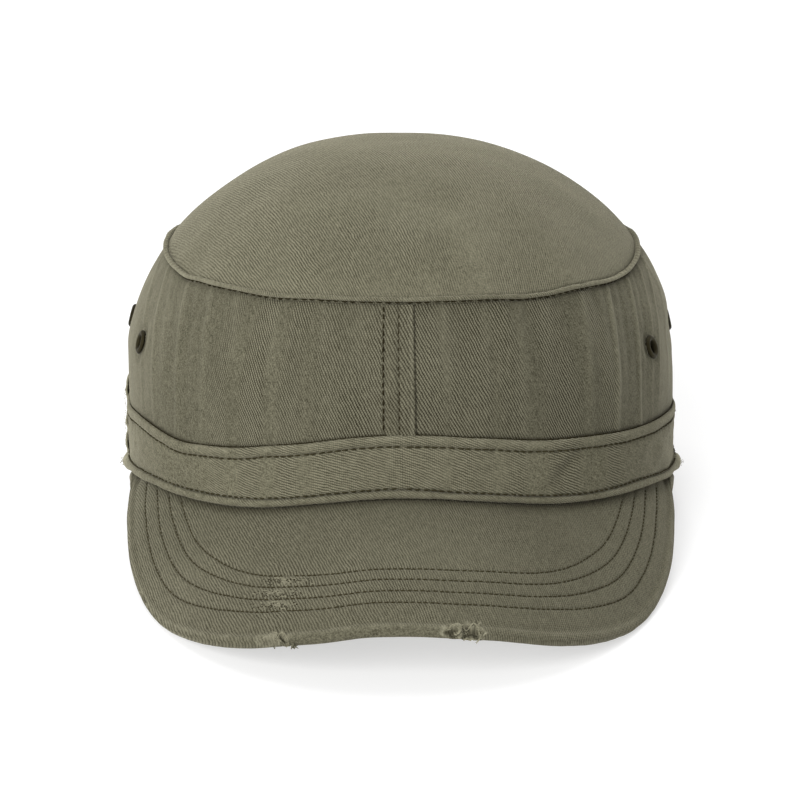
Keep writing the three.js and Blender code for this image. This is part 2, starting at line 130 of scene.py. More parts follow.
# Bands of the wall where the weave is rubbed smooth, or clearer where negative: turn, half width in
# degrees and strength.
SMOOTH_BANDS = [
    (-35.2, 1.9, 0.85), (-30.7, 2.4, -0.3), (-26.3, 1.8, 0.8), (-22.2, 1.8, -0.25), (-18.2, 1.7, 0.55),
    (8.2, 0.9, 0.5), (14, 3, -0.15), (18, 1.0, 0.5), (26.5, 2.6, 0.85), (33, 3.5, -0.5), (40.9, 3.4, 0.9),
    (46, 1.8, -0.4),
]
# The sides are rubbed smooth too: degrees at which that starts and over which it grows, to the left and
# to the right, and where it ends.
SMOOTH_SIDES = dict(start=(37, 47.5), over=(8, 4), end=100, fade=20, most=0.9)

# Broad swellings of the wall at the sides: turn and width in degrees, middle and reach up the wall as
# shares of its height, and depth in mm.
SWELLINGS = [(-92, 20, 0.58, 0.42, 1.4), (92, 18, 0.84, 0.17, 1.9), (92, 16, 0.3, 0.16, 0.5)]

# Narrow puckers that hang from the rim's seam: turn at the rim and at the band, width in degrees,
# depth in mm, and how far down the wall they reach, as a share of its height.
PUCKERS = [
    (-88, -69, 0.8, 0.32, 1.0), (-76, -62, 0.7, 0.42, 1.1), (-70, -58, 0.7, 0.25, 0.8),
    (-65, -55, 0.9, -0.18, 1.0), (-61, -52.5, 0.6, 0.50, 1.2), (-58, -49, 1.1, -0.25, 1.3),
    (-50, -44, 0.8, 0.30, 1.2), (-46, -39.5, 1.1, -0.20, 1.0), (-41, -34, 1.0, 0.24, 0.9),
    (-30, -25.5, 1.6, 0.24, 1.3), (-17, -14, 1.6, 0.20, 0.8), (9, 8, 1.2, 0.16, 0.9),
    (18.5, 16, 1.1, 0.20, 0.8), (27, 24, 1.4, 0.22, 1.2), (34.5, 30, 1.5, 0.20, 0.8),
    (46, 40.5, 0.9, 0.30, 1.5), (50.5, 43.5, 1.2, -0.28, 1.5), (53, 46, 0.6, 0.22, 0.6),
    (56.5, 48.7, 0.75, 0.80, 2.0), (62, 53, 1.1, -0.35, 1.3), (68, 57.5, 0.7, 0.80, 1.6),
    (73, 61, 0.8, -0.30, 1.0), (78, 63.5, 0.6, 0.60, 0.8), (85, 67, 0.6, 0.55, 0.8),
    (92, 75, 0.8, 0.40, 0.8),
]
PUCKER_FADE = 1.2
PUCKER_START = 0.02  # share of the wall's height over which a pucker grows below the seam

# The peak lies a little to the left, its ends reach on under the rolled edge, and its edge waves:
# across, half width, lift, in mm.
PEAK_OFFSET = 0.35
PEAK_END = dict(start=0.82, over=0.18, run=9, turn=radians(5))
PEAK_STEP = 0.004  # of the peak's edge and depth, for slopes
PEAK_WAVES = [(-24, 9, -0.85), (38, 14, 0.8)]

# The peak's stitch rows: distance in from its edge at the front and at the sides.
PEAK_ROWS = [(10.2, 8.1), (14.7, 13.9), (19.2, 20.0), (23.4, 25.8)]
ROW_TURN = dict(start=0.3, over=0.35)  # where along the edge the rows pass from the one to the other

# Torn spots of the peak's edge: across to the right, in from the edge, half width, half depth, pit.
TEARS = [
    (-33.4, 0.3, 1.05, 1.0, 1.7), (-37.6, -0.4, 2.6, 1.8, 0.25), (15.0, -0.7, 2.6, 1.7, 1.1),
    (18.9, -0.5, 3.2, 2.5, 1.3), (-75.4, 0.6, 0.9, 0.8, 0.3),
]
# Ravelled cords at the tears: places across and in from the edge, below it where negative.
TORN_CORDS = [
    ([11.9, 13.1, 14.1, 15.1], [0.1, 0.8, 1.7, 1.1]), ([15.7, 17.1, 18.1, 19.4], [0.9, 1.8, 1.1, 2.1]),
    ([19.1, 20.1, 20.9, 21.4], [1.9, 2.5, 1.5, 0.9]), ([21.4, 22.2, 22.0, 20.9], [0.8, -0.2, -1.1, -2.2]),
    ([14.6, 15.4, 16.4], [0.3, -0.6, 0.2]), ([17.0, 18.2, 19.6, 20.6], [-1.9, -1.2, -1.7, -1.3]),
    ([-34.4, -33.8, -33.0, -32.4], [0.9, 1.4, 1.3, 0.5]),
    ([-32.4, -32.2, -32.5, -33.0], [0.6, -0.2, -0.8, -1.3]), ([-35.9, -35.2, -34.5], [2.9, 2.2, 1.2]),
]
# Rubbed patches between the stitch rows: middle across to the right, in from the edge, half width.
RUBBED = [(-32.5, 21.5, 6.0), (-34.5, 17.0, 6.4), (-35.5, 12.5, 6.0)]
RUBBED_DEPTH = 1.7


# Shapes of the cap

def hump(off, wide, power=2):
    """A rounded bump: 1 where off is 0, gone some widths away."""
    return np.exp(-((off / wide) ** power))


def unit(value):
    """A value held between 0 and 1."""
    return np.clip(value, 0, 1)


def degrees_of(turn):
    """Degrees from the front, -180 to 180, to the photo's right where positive."""
    return (np.degrees(turn) + 180) % 360 - 180


def direction(vectors):
    return vectors / np.linalg.norm(vectors, axis=-1, keepdims=True)


def raised(plan, height):
    """Points from their places in plan and their heights."""
    return np.concatenate([plan, height[..., None]], -1)


def table_at(table, angle):
    """A smooth curve through a table of angles and shares, alike on both sides of the front."""
    at = np.abs((angle + 180) % 360 - 180)
    keys = np.array([row[0] for row in table], float)
    shares = np.array([row[1] for row in table], float)
    keys_out = np.concatenate([[2 * keys[0] - keys[1]], keys, [2 * keys[-1] - keys[-2]]])
    shares_out = np.concatenate([[shares[1]], shares, [shares[-2]]])
    i = np.clip(np.searchsorted(keys, at, side="right") - 1, 0, len(keys) - 2)
    step = keys_out[i + 2] - keys_out[i + 1]
    s = (at - keys_out[i + 1]) / step
    slope_a = step * (shares_out[i + 2] - shares_out[i]) / (keys_out[i + 2] - keys_out[i])
    slope_b = step * (shares_out[i + 3] - shares_out[i + 1]) / (keys_out[i + 3] - keys_out[i + 1])
    a, b = shares_out[i + 1], shares_out[i + 2]
    return (
        a * (2 * s**3 - 3 * s**2 + 1) + slope_a * (s**3 - 2 * s**2 + s)
        + b * (3 * s**2 - 2 * s**3) + slope_b * (s**3 - s**2)
    )


def low_edge(turn):
    return LOW_EDGE_LIFT * table_at(LOW_EDGE, np.degrees(turn))


def sag_at(table, turn):
    """Drop at a turn from a table of turns and drops, softened over a few degrees."""
    degrees = degrees_of(turn)
    keys, drops = zip(*table)
    return sum(np.interp(degrees + step, keys, drops) for step in (-2, -1, 0, 1, 2)) / 5


def rim_edge(turn):
    degrees = degrees_of(turn)
    return RIM_HEIGHT + RIM_RISE * table_at(RIM_EDGE, degrees) - sag_at(RIM_SAG, turn)


def band_sag(turn, up):
    """Drop of the band from its foot, up 0, to its lip."""
    share = unit(up / SAG_SPAN)
    return sag_at(FOOT_SAG, turn) * (1 - share) + sag_at(LIP_SAG, turn) * share


def nub_at(turn):
    """How bunched up the rolled edge is: 1 at the middle of the nub at each side."""
    return hump(np.abs(degrees_of(turn)) - NUB_TURN, NUB_WIDTH)


def swellings_at(turn, share):
    degrees = degrees_of(turn)
    total = 0
    for middle, wide, at, reach, depth in SWELLINGS:
        total = total + depth * np.exp(-(((degrees - middle) / wide) ** 2) - ((share - at) / reach) ** 4)
    return total


def crisp_at(turn):
    """How clearly the weave shows: the cloth is rubbed smooth in some bands and at both sides."""
    degrees = degrees_of(turn)
    start = np.where(degrees < 0, *SMOOTH_SIDES["start"])
    over = np.where(degrees < 0, *SMOOTH_SIDES["over"])
    past_end = soft_step((np.abs(degrees) - SMOOTH_SIDES["end"]) / SMOOTH_SIDES["fade"])
    rubbed = soft_step((np.abs(degrees) - start) / over) * (1 - past_end)
    crisp = 1 - SMOOTH_SIDES["most"] * rubbed
    for middle, wide, amount in SMOOTH_BANDS:
        crisp = crisp * (1 - amount * hump(degrees - middle, wide, 4))
    return crisp


def wall_foot(turn):
    return low_edge(turn) + ROLL + GAP


def wall_height(turn, share):
    foot = wall_foot(turn)
    return foot + share * (rim_edge(turn) - foot)


def run_at(turn):
    """Length round the opening."""
    return turn / (2 * pi) * WALL_GIRTH


def lean_at(share):
    """How far the wall has gone over from the opening's oval to the rim's."""
    return np.clip((share - LEAN_START) / (1 - LEAN_START), 0, None) ** LEAN_POWER


def oval_at(oval, turn):
    power = 2 / oval["square"]
    s, c = np.sin(turn), np.cos(turn)
    reach = np.where(c > 0, oval["front"], oval["back"])
    x = oval["half_width"] * np.sign(s) * np.abs(s) ** power
    y = -reach * np.sign(c) * np.abs(c) ** power
    return np.stack([x, y], -1)


def turn_at_x(x):
    return np.arcsin(np.sign(x) * np.abs(x / OPENING["half_width"]) ** (OPENING["square"] / 2))


def turn_at_y(y):
    reach = OPENING["front"] if y < 0 else OPENING["back"]
    return np.arccos(-np.sign(y) * abs(y / reach) ** (OPENING["square"] / 2))


def folds_at(turn, share):
    above = unit((share - FOLD_START) / (1 - FOLD_START))
    swell = np.sin(pi * above) ** FOLD_ROUND
    total = 0
    for middle, wide, depth in FOLDS:
        off = (np.degrees(turn) - middle + 180) % 360 - 180
        total = total + depth * hump(off, wide)
    return total * swell


def puckers_at(turn, share, puckers):
    total = 0
    lean = lean_at(share)
    for at_rim, at_foot, wide, depth, reach in puckers:
        off = (np.degrees(turn) - at_foot - (at_rim - at_foot) * lean + 180) % 360 - 180
        down = unit((1 - share) / reach)
        fade = (1 - down) ** PUCKER_FADE * unit((1 - share) / PUCKER_START)
        total = total + depth * hump(off, wide) * fade
    return total


def wall_plan(turn, share, out):
    """Plan point of the wall's outside, moved out by a distance."""
    lean = lean_at(share)[..., None]
    step = radians(0.5)

    def at(t):
        return oval_at(OPENING, t) * (1 - lean) + oval_at(RIM, t) * lean

    along = direction(at(turn + step) - at(turn - step))
    outward = np.stack([along[..., 1], -along[..., 0]], -1)
    return at(turn) + outward * (out + folds_at(turn, share))[..., None]


def wall_point(turn, share, out):
    turn, share = np.broadcast_arrays(np.asarray(turn, float), np.asarray(share, float))
    return raised(wall_plan(turn, share, out), wall_height(turn, share))


def girth_at(turn, share):
    """Length along the wall's weave, shorter where the wall narrows towards the rim."""
    return run_at(turn) * (1 - WEAVE_DRAWN * lean_at(np.minimum(share, 1)))


def share_at(turn, z):
    foot = wall_foot(turn)
    return (z - foot) / (rim_edge(turn) - foot)


def top_point(turn, share):
    """The domed top's outside, from its middle to the rim."""
    plan = oval_at(RIM, turn) * share[..., None]
    edge = GAP + TOP_CLOTH * np.hypot(1, DOME_STEEP)
    drawn = (rim_edge(turn) - RIM_HEIGHT) * share**3
    z = RIM_HEIGHT + edge + drawn + DOME_HEIGHT * (1 - share**DOME_POWER)
    return raised(plan, z)


def peak_end_at(across):
    """How near a place is to the peak's end: 0 along most of its edge, 1 at the end."""
    return soft_step((np.abs(across) - PEAK_END["start"]) / PEAK_END["over"])


def peak_edge(across):
    power = 2 / PEAK["square"]
    swing = across * pi / 2
    half_width = PEAK["half_width"] + PEAK_OFFSET
    x = half_width * np.sign(across) * np.abs(np.sin(swing)) ** power - PEAK_OFFSET
    y = -PEAK["ends"] - PEAK["reach"] * np.abs(np.cos(swing)) ** power
    y = y + PEAK_END["run"] * peak_end_at(across)
    z = -GAP - PEAK["drop"] * table_at(PEAK_EDGE, np.degrees(swing))
    for middle, wide, lift in PEAK_WAVES:
        z = z + lift * hump(x - middle, wide)
    return np.stack([x, y, z], -1)


def peak_point(across, out):
    """The peak's upper face, out from its root under the rolled edge to its outer edge."""
    across, out = np.broadcast_arrays(np.asarray(across, float), np.asarray(out, float))
    turn = across * radians(PEAK["span"])
    turn = turn + np.sign(across) * PEAK_END["turn"] * peak_end_at(across)
    plan = wall_plan(turn, np.zeros_like(turn), np.full_like(turn, -PEAK["tuck"]))
    root_height = low_edge(turn) - GAP / 2 - sag_at(ROLL_SAG, turn)
    root = raised(plan, root_height)
    point = root + (peak_edge(across) - root) * out[..., None]
    point[..., 2] += PEAK["belly"] * np.sin(pi * out) * np.cos(across * pi / 2)
    return point


def beside(across):
    """Places a small step to the left and to the right along the peak's edge."""
    return np.clip(across - PEAK_STEP, -1, 1), np.clip(across + PEAK_STEP, -1, 1)


def peak_normal(across, out):
    left, right = beside(across)
    to_side = peak_point(right, out) - peak_point(left, out)
    outward = peak_point(across, unit(out + PEAK_STEP)) - peak_point(across, unit(out - PEAK_STEP))
    normal = direction(np.cross(outward, to_side))
    return normal * np.where(normal[..., 2:] < 0, -1, 1)


def peak_inset(across, out):
    """Distance of a point of the peak's upper face in from its outer edge."""
    left, right = beside(across)
    ruling = peak_point(across, np.ones_like(across)) - peak_point(across, np.zeros_like(across))
    length = np.linalg.norm(ruling, axis=-1)
    along = direction(peak_edge(right) - peak_edge(left))
    square_on = np.linalg.norm(np.cross(ruling / length[..., None], along), axis=-1)
    return (1 - out) * length * square_on


def soft_step(value):
    part = unit(value)
    return part * part * (3 - 2 * part)


def row_inset(row, across):
    """How far in from the peak's edge a stitch row runs at a place along the edge."""
    front, side = row
    return front + (side - front) * soft_step((np.abs(across) - ROW_TURN["start"]) / ROW_TURN["over"])


def peak_out_at(across, inset):
    """Share of the way out at which the peak's upper face lies this far in from its edge."""
    whole = peak_inset(across, np.zeros_like(across))
    return 1 - inset / whole


LATTICE = 4096
LATTICE_START = 400
LATTICE_STRIDES = np.array([73, 179, 283])


def noise(points, size, seed):
    """Smooth unevenness between -1 and 1, from points of two or three coordinates in mm."""
    rng = np.random.default_rng(seed)
    lattice = rng.uniform(-1, 1, LATTICE)
    cell = np.asarray(points, float) / size + LATTICE_START
    base = np.floor(cell).astype(int)
    part = cell - base
    part = part * part * (3 - 2 * part)
    width = cell.shape[-1]
    total = 0
    for corner in range(2**width):
        bits = np.array([(corner >> k) & 1 for k in range(width)])
        share = np.prod(np.where(bits, part, 1 - part), -1)
        key = (base + bits) @ LATTICE_STRIDES[:width]
        total = total + share * lattice[key % LATTICE]
    return total


def noise_at(a, b, size, seed):
    return noise(np.stack([a, b], -1), size, seed)


# Meshes

STAND = Matrix.Translation((0, BEHIND * MM, LIFT * MM)) @ Matrix.Rotation(-TILT, 4, "X")


def stand(points):
    """Points of the level cap in mm, as the cap stands, in metres and not below the floor."""
    flat = np.asarray(points, float).reshape(-1, 3) * MM
    turned = flat @ np.array(STAND.to_3x3()).T + np.array(STAND.translation)
    turned[:, 2] = np.maximum(turned[:, 2], 0)
    return turned


def set_uv(mesh, u, v):
    layer = mesh.uv_layers.new(name="weave") if not mesh.uv_layers else mesh.uv_layers[0]
    corner = np.empty(len(mesh.loops), int)
    mesh.loops.foreach_get("vertex_index", corner)
    layer.data.foreach_set("uv", np.stack([u[corner], v[corner]], -1).astype(np.float32).ravel())


def set_value(mesh, name, values):
    layer = mesh.attributes.new(name, "FLOAT", "POINT")
    layer.data.foreach_set("value", np.broadcast_to(values, len(mesh.vertices)).astype(np.float32))


def grid(columns, rows):
    """A flat grid mesh and the two shares, from 0 to 1, of each of its vertices."""
    shape = bmesh.new()
    bmesh.ops.create_grid(shape, x_segments=columns, y_segments=rows, size=0.5)
    mesh = bpy.data.meshes.new("grid")
    shape.to_mesh(mesh)
    shape.free()
    co = np.empty(len(mesh.vertices) * 3)
    mesh.vertices.foreach_get("co", co)
    co = co.reshape(-1, 3) + 0.5
    return mesh, unit(co[:, 0]), unit(co[:, 1])


def finish_piece(
    name, mesh, material, nodes, points=None, weld=False, cap_ends=False, outward=None,
):
    """Places a mesh's vertices, closes it, turns its faces outwards and registers it as a piece."""
    if points is not None:
        mesh.vertices.foreach_set("co", stand(points).ravel())
    shape = bmesh.new()
    shape.from_mesh(mesh)
    if weld:
        bmesh.ops.remove_doubles(shape, verts=shape.verts, dist=1e-6)
    if cap_ends:
        bmesh.ops.holes_fill(shape, edges=[e for e in shape.edges if e.is_boundary], sides=0)
    if outward is None:
        bmesh.ops.recalc_face_normals(shape, faces=shape.faces)
    else:
        shape.normal_update()
        middle = Vector(outward)
        facing = sum((f.calc_center_median() - middle).dot(f.normal) for f in shape.faces)
        if facing < 0:
            bmesh.ops.reverse_faces(shape, faces=shape.faces)
    shape.to_mesh(mesh)
    shape.free()
    mesh.polygons.foreach_set("use_smooth", np.ones(len(mesh.polygons), bool))
    mesh.name = name
    piece = bpy.data.objects.new(name, mesh)
    bpy.context.scene.collection.objects.link(piece)
    mesh.materials.append(material)
    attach(piece, "root")
    if nodes:
        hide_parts(*nodes)
    return piece


def thicken(piece, thickness):
    wall = piece.modifiers.new("cloth", "SOLIDIFY")
    wall.thickness = thickness * MM
    wall.offset = -1
    wall.use_rim = True


def lengths_along(path):
    return np.concatenate([[0], np.cumsum(np.linalg.norm(np.diff(path, axis=0), axis=1))])


def smooth_profile(points, count):
    """Evenly spaced points on a closed smooth curve through a few points."""
    corners = np.array(points, float)
    fine = []
    for i in range(len(corners)):
        a, b, c, d = (corners[(i + k - 1) % len(corners)] for k in range(4))
        s = np.linspace(0, 1, 12, endpoint=False)[:, None]
        bend, twist = 2 * a - 5 * b + 4 * c - d, 3 * b - a - 3 * c + d
        fine.append(0.5 * (2 * b + (c - a) * s + bend * s**2 + twist * s**3))
    fine = np.concatenate(fine + [fine[0][:1]])
    run = lengths_along(fine)
    at = np.linspace(0, run[-1], count + 1)
    return np.stack([np.interp(at, run, fine[:, k]) for k in range(2)], -1), run[-1]


def threads(name, paths, radius, material):
    """One joined mesh of short threads: each path has points in mm, and a share of the radius each."""
    curve = bpy.data.curves.new(name, "CURVE")
    curve.dimensions = "3D"
    curve.bevel_depth = radius * MM
    curve.bevel_resolution = 0
    curve.use_fill_caps = True
    for points, thickness in paths:
        spline = curve.splines.new("POLY")
        spline.points.add(len(points) - 1)
        placed = stand(points)
        placed[:, 2] = np.maximum(placed[:, 2], radius * MM * np.asarray(thickness))
        spline.points.foreach_set("co", np.concatenate([placed, np.ones((len(points), 1))], 1).ravel())
        spline.points.foreach_set("radius", np.asarray(thickness, float))
    holder = bpy.data.objects.new(name + "_curve", curve)
    bpy.context.scene.collection.objects.link(holder)
    bpy.context.view_layer.update()
    mesh = bpy.data.meshes.new_from_object(holder.evaluated_get(bpy.context.evaluated_depsgraph_get()))
    bpy.data.objects.remove(holder)
    bpy.data.curves.remove(curve)
    finish_piece(name, mesh, material, ())


# Each kind of stitch: pitch and length along the row, height of its arch, depth of its ends and how far
# it wanders to the sides, in mm.
STITCHES = dict(
    seam=(2.5, 1.6, 0.10, 0.16, 0.08), rim=(2.6, 1.75, 0.14, 0.16, 0.08), lip=(2.3, 2.2, 0.08, 0.1, 0.04),
    band=(2.5, 1.85, 0.12, 0.16, 0.08), roll=(2.4, 1.6, 0.12, 0.16, 0.08), peak=(1.8, 1.42, 0.14, 0.12, 0.06),
)


def stitches(path, normals, kind, seed):
    """Stitches along a row of points: each is a short arch whose two ends dip into the cloth."""
    pitch, length, lift, sunk, wander = STITCHES[kind]
    rng = np.random.default_rng(seed)
    run = lengths_along(path)
    rows = []
    for start in np.arange(pitch * 0.5, run[-1] - length, pitch):
        begin = start + rng.uniform(-0.12, 0.12) * pitch
        at = begin + np.linspace(0, length * rng.uniform(0.9, 1.08), 5)
        points = np.stack([np.interp(at, run, path[:, k]) for k in range(3)], -1)
        up = direction(np.stack([np.interp(at, run, normals[:, k]) for k in range(3)], -1))
        side = direction(np.cross(up, points[-1] - points[0]))
        height = np.array([-sunk, lift * 0.7, lift, lift * 0.7, -sunk])
        drift = rng.uniform(-wander, wander) + np.linspace(-1, 1, 5) * rng.uniform(-wander, wander)
        rows.append((points + up * height[:, None] + side * drift[:, None], [0.55, 1, 1.05, 1, 0.55]))
    return rows


# Materials

class Nodes:
    """Short calls that add nodes to a material."""

    def __init__(self, name):
        self.material = bpy.data.materials.new(name)
        self.material.use_nodes = True
        self.tree = self.material.node_tree
        self.surface = self.tree.nodes["Principled BSDF"]

    def add(self, kind, **settings):
        node = self.tree.nodes.new(kind)
        for key, value in settings.items():
            setattr(node, key, value)
        return node

    def link(self, source, target):
        self.tree.links.new(source, target)

    def math(self, operation, a, b=0.0, c=0.0, clamp=False):
        node = self.add("ShaderNodeMath", operation=operation, use_clamp=clamp)
        for socket, value in zip(node.inputs, (a, b, c)):
            if isinstance(value, (int, float)):
                socket.default_value = value
            else:
                self.link(value, socket)
        return node.outputs[0]

    def times(self, a, b, clamp=False):
        return self.math("MULTIPLY", a, b, clamp=clamp)

    def plus(self, a, b, clamp=False):
        return self.math("ADD", a, b, clamp=clamp)

    def minus(self, a, b):
        return self.math("SUBTRACT", a, b)

    def value(self, name):
        return self.add("ShaderNodeAttribute", attribute_name=name).outputs["Fac"]

    def noise(self, vector, scale, detail=2.0, roughness=0.5):
        node = self.add("ShaderNodeTexNoise")
        self.link(vector, node.inputs["Vector"])
        node.inputs["Scale"].default_value = scale
        node.inputs["Detail"].default_value = detail
        node.inputs["Roughness"].default_value = roughness
        return node.outputs["Fac"]

    def spot(self):
        return self.add("ShaderNodeTexCoord").outputs["Object"]

    def set_surface(self, **values):
        """Sets the shader's own sockets, named with low lines for spaces."""
        for name, value in values.items():
            self.surface.inputs[name.replace("_", " ")].default_value = value

    def add_bump(self, height, strength, distance):
        bump = self.add("ShaderNodeBump")
        bump.inputs["Strength"].default_value = strength
        bump.inputs["Distance"].default_value = distance * MM
        self.link(height, bump.inputs["Height"])
        self.link(bump.outputs["Normal"], self.surface.inputs["Normal"])

    def spread(self, value, low, high):
        node = self.add("ShaderNodeMapRange")
        self.link(value, node.inputs["Value"])
        node.inputs["To Min"].default_value = low
        node.inputs["To Max"].default_value = high
        return node.outputs["Result"]

    def mix(self, factor, a, b):
        node = self.add("ShaderNodeMix", data_type="RGBA")
        if isinstance(factor, (int, float)):
            node.inputs["Factor"].default_value = factor
        else:
            self.link(factor, node.inputs["Factor"])
        for socket, colour in zip((node.inputs[6], node.inputs[7]), (a, b)):
            if isinstance(colour, tuple):
                socket.default_value = (*colour, 1)
            else:
                self.link(colour, socket)
        return node.outputs[2]


YARN_PITCH = 0.62  # between two yarns along a rib
WANDER = [(90, 0.0013), (650, 0.0006)]  # of the ribs off their line: cells to a metre, reach in metres
# The cloth's fuzz, slubs, patches and clouds: cells to a metre, detail and roughness.
GRAINS = [(2100, 3, 0.7), (420, 3, 0.6), (38, 3, 0.55), (11, 2, 0.5)]
DARK_CLOTH = (0.020, 0.018, 0.008)
LIGHT_CLOTH = (0.205, 0.194, 0.134)
# Paler worn cloth, mixed in by the wear attribute: mostly real wear, in places painted light.
WORN_AND_PAINTED_LIGHT_CLOTH = (0.300, 0.285, 0.205)
# Painted shade colour, mixed in by the seam attribute.
PAINTED_SHADE_CLOTH = (0.013, 0.010, 0.003)
DARK_BRASS = (0.018, 0.015, 0.006)
RUBBED_BRASS = (0.062, 0.053, 0.026)


def twill(name, angle, pitch, shade, contrast):
    """Washed twill: diagonal ribs that fall to the right by an angle, broken into yarns, with wear, painted
    light and painted shade.
    """
    n = Nodes(name)
    weave = n.add("ShaderNodeUVMap", uv_map="weave").outputs["UV"]
    spot = n.spot()
    parts = n.add("ShaderNodeSeparateXYZ")
    n.link(weave, parts.inputs[0])
    u, v = parts.outputs[0], parts.outputs[1]
    wander = n.plus(*(n.times(n.minus(n.noise(weave, cells, 2), 0.5), reach) for cells, reach in WANDER))
    over = n.plus(n.times(u, sin(angle)), n.times(v, cos(angle)))
    over = n.math("DIVIDE", n.plus(over, wander), pitch * MM)
    along = n.minus(n.times(u, cos(angle)), n.times(v, sin(angle)))
    stagger = n.times(n.math("FLOOR", over), 0.37)
    along = n.plus(n.math("DIVIDE", along, YARN_PITCH * MM), stagger)
    rib = n.add("ShaderNodeMapRange", interpolation_type="SMOOTHSTEP")
    n.link(n.times(n.math("PINGPONG", over, 0.5), 2), rib.inputs["Value"])
    rib.inputs["From Min"].default_value = 0.12
    rib.inputs["From Max"].default_value = 0.80
    rib = rib.outputs["Result"]
    yarn = n.times(n.math("PINGPONG", along, 0.5), 2)
    fuzz, slub, patch, cloud = (n.noise(spot, *grain) for grain in GRAINS)
    upright = n.add("ShaderNodeVectorMath", operation="MULTIPLY")
    n.link(weave, upright.inputs[0])
    upright.inputs[1].default_value = (1, 0.3, 1)
    clear = n.spread(n.noise(upright.outputs[0], 75, 2), 0.1 * contrast, 1.5 * contrast)
    crisp = n.value("crisp")
    clear = n.times(clear, crisp)
    grain = n.times(n.minus(fuzz, 0.5), n.math("MULTIPLY_ADD", crisp, -1.2, 2.0))
    run = n.add("ShaderNodeCombineXYZ")
    n.link(over, run.inputs[0])
    n.link(n.times(along, 0.22), run.inputs[1])
    uneven = n.noise(run.outputs[0], 1.0, 2)
    relief = n.plus(n.times(n.minus(rib, 0.5), 0.80), n.times(n.minus(yarn, 0.5), 0.50))
    tone = n.math("MULTIPLY_ADD", relief, clear, 0.47)
    tone = n.plus(tone, n.spread(uneven, -0.26, 0.26))
    tone = n.plus(tone, grain)
    for blotch, reach in ((slub, 0.11), (patch, 0.09), (cloud, 0.07)):
        tone = n.plus(tone, n.spread(blotch, -reach, reach), clamp=blotch is cloud)
    dark = tuple(c * shade for c in DARK_CLOTH)
    light = tuple(c * shade for c in LIGHT_CLOTH)
    colour = n.mix(tone, dark, light)
    # Paler where worn, and where light is painted in.
    wear_and_painted_light = n.times(n.value("wear_and_painted_light"), n.spread(slub, 0.5, 1.3), clamp=True)
    colour = n.mix(wear_and_painted_light, colour, WORN_AND_PAINTED_LIGHT_CLOTH)
    # The seam attribute paints shade: dark lines in grooves, creases and tear pits, under the ridge and the
    # lip, and darker sides turned from the light.
    seam = n.times(n.value("seam"), 0.8, clamp=True)
    colour = n.mix(seam, colour, PAINTED_SHADE_CLOTH)
    n.link(colour, n.surface.inputs["Base Color"])
    n.link(n.spread(slub, 0.84, 0.97), n.surface.inputs["Roughness"])
    n.set_surface(Specular_IOR_Level=0.10, Sheen_Weight=0.28, Sheen_Roughness=0.38)
    n.set_surface(Sheen_Tint=(0.86, 0.81, 0.61, 1))
    height = n.times(n.math("MULTIPLY_ADD", yarn, 0.35, rib), crisp)
    height = n.plus(height, n.spread(fuzz, -0.25, 0.25))
    height = n.plus(height, n.spread(slub, -0.3, 0.3))
    n.add_bump(height, 0.75, 0.14)
    return n.material


def thread_material(name, dark, light):
    n = Nodes(name)
    spot = n.spot()
    fuzz = n.noise(spot, 2200, 2)
    n.link(n.mix(fuzz, dark, light), n.surface.inputs["Base Color"])
    n.set_surface(Roughness=0.85, Specular_IOR_Level=0.10)
    return n.material


def old_metal(name):
    """Blackened brass, rubbed a little brighter on its crown."""
    n = Nodes(name)
    spot = n.spot()
    grime_and_painted_shade = n.noise(spot, 700, 4, 0.65)
    bright = n.times(n.value("wear_and_painted_light"), n.spread(grime_and_painted_shade, 0.2, 1.2), clamp=True)
    n.link(n.mix(bright, DARK_BRASS, RUBBED_BRASS), n.surface.inputs["Base Color"])
    n.set_surface(Metallic=0.75, Specular_IOR_Level=0.2)
    n.link(n.spread(grime_and_painted_shade, 0.50, 0.78), n.surface.inputs["Roughness"])
    n.add_bump(grime_and_painted_shade, 0.25, 0.05)
    return n.material


def floor_material():
    n = Nodes("pale_floor")
    spot = n.spot()
    pale = n.mix(n.noise(spot, 3, 2), (0.44, 0.44, 0.44), (0.46, 0.46, 0.46))
    n.link(pale, n.surface.inputs["Base Color"])
    n.set_surface(Roughness=0.9, Emission_Color=(1, 1, 1, 1), Emission_Strength=0.57)
    return n.material


# Each piece's weave: the ribs' fall in degrees, their pitch in mm, shade and contrast.
WEAVES = dict(
    # Painted shade: wall_left has a lower shade than wall_right, darkening the panel on the side turned from
    # the light.
    top=(71, 0.84, 1.06, 0.65), wall_left=(60, 0.82, 0.77, 1.15), wall_right=(63, 0.82, 0.83, 0.95),
    seam=(62, 0.84, 0.82, 0.9), band=(18, 0.70, 1.0, 0.75), roll=(38, 0.74, 1.02, 0.6),
    ridge=(50, 0.74, 1.0, 0.75), peak=(71, 0.75, 0.87, 0.68),
)
TWILL = {
    part: twill(part + "_twill", radians(fall), pitch, shade, contrast)
    for part, (fall, pitch, shade, contrast) in WEAVES.items()
}
# The darkest and palest colour of each kind of thread.
THREAD_COLOURS = dict(
    dark=((0.010, 0.008, 0.002), (0.026, 0.021, 0.008)),
    faded=((0.018, 0.015, 0.006), (0.048, 0.041, 0.019)),
    pale=((0.16, 0.150, 0.102), (0.34, 0.322, 0.228)),
    nub=((0.020, 0.018, 0.009), (0.22, 0.210, 0.145)),
)
THREAD = {kind: thread_material(kind + "_thread", *colours) for kind, colours in THREAD_COLOURS.items()}
OLD_METAL = old_metal("blackened_brass")


# The wall

WALL_COLUMNS = 380
WALL_ROWS = 84
rng = np.random.default_rng(11)
SMALL_PUCKERS = []
for middle in np.arange(-176, 180, 5.2) + rng.uniform(-2, 2, 69):
    wide, depth, reach = rng.uniform(0.9, 2.0), rng.uniform(-0.22, 0.24), rng.uniform(0.2, 0.5)
    SMALL_PUCKERS.append((middle, middle, wide, depth, reach))


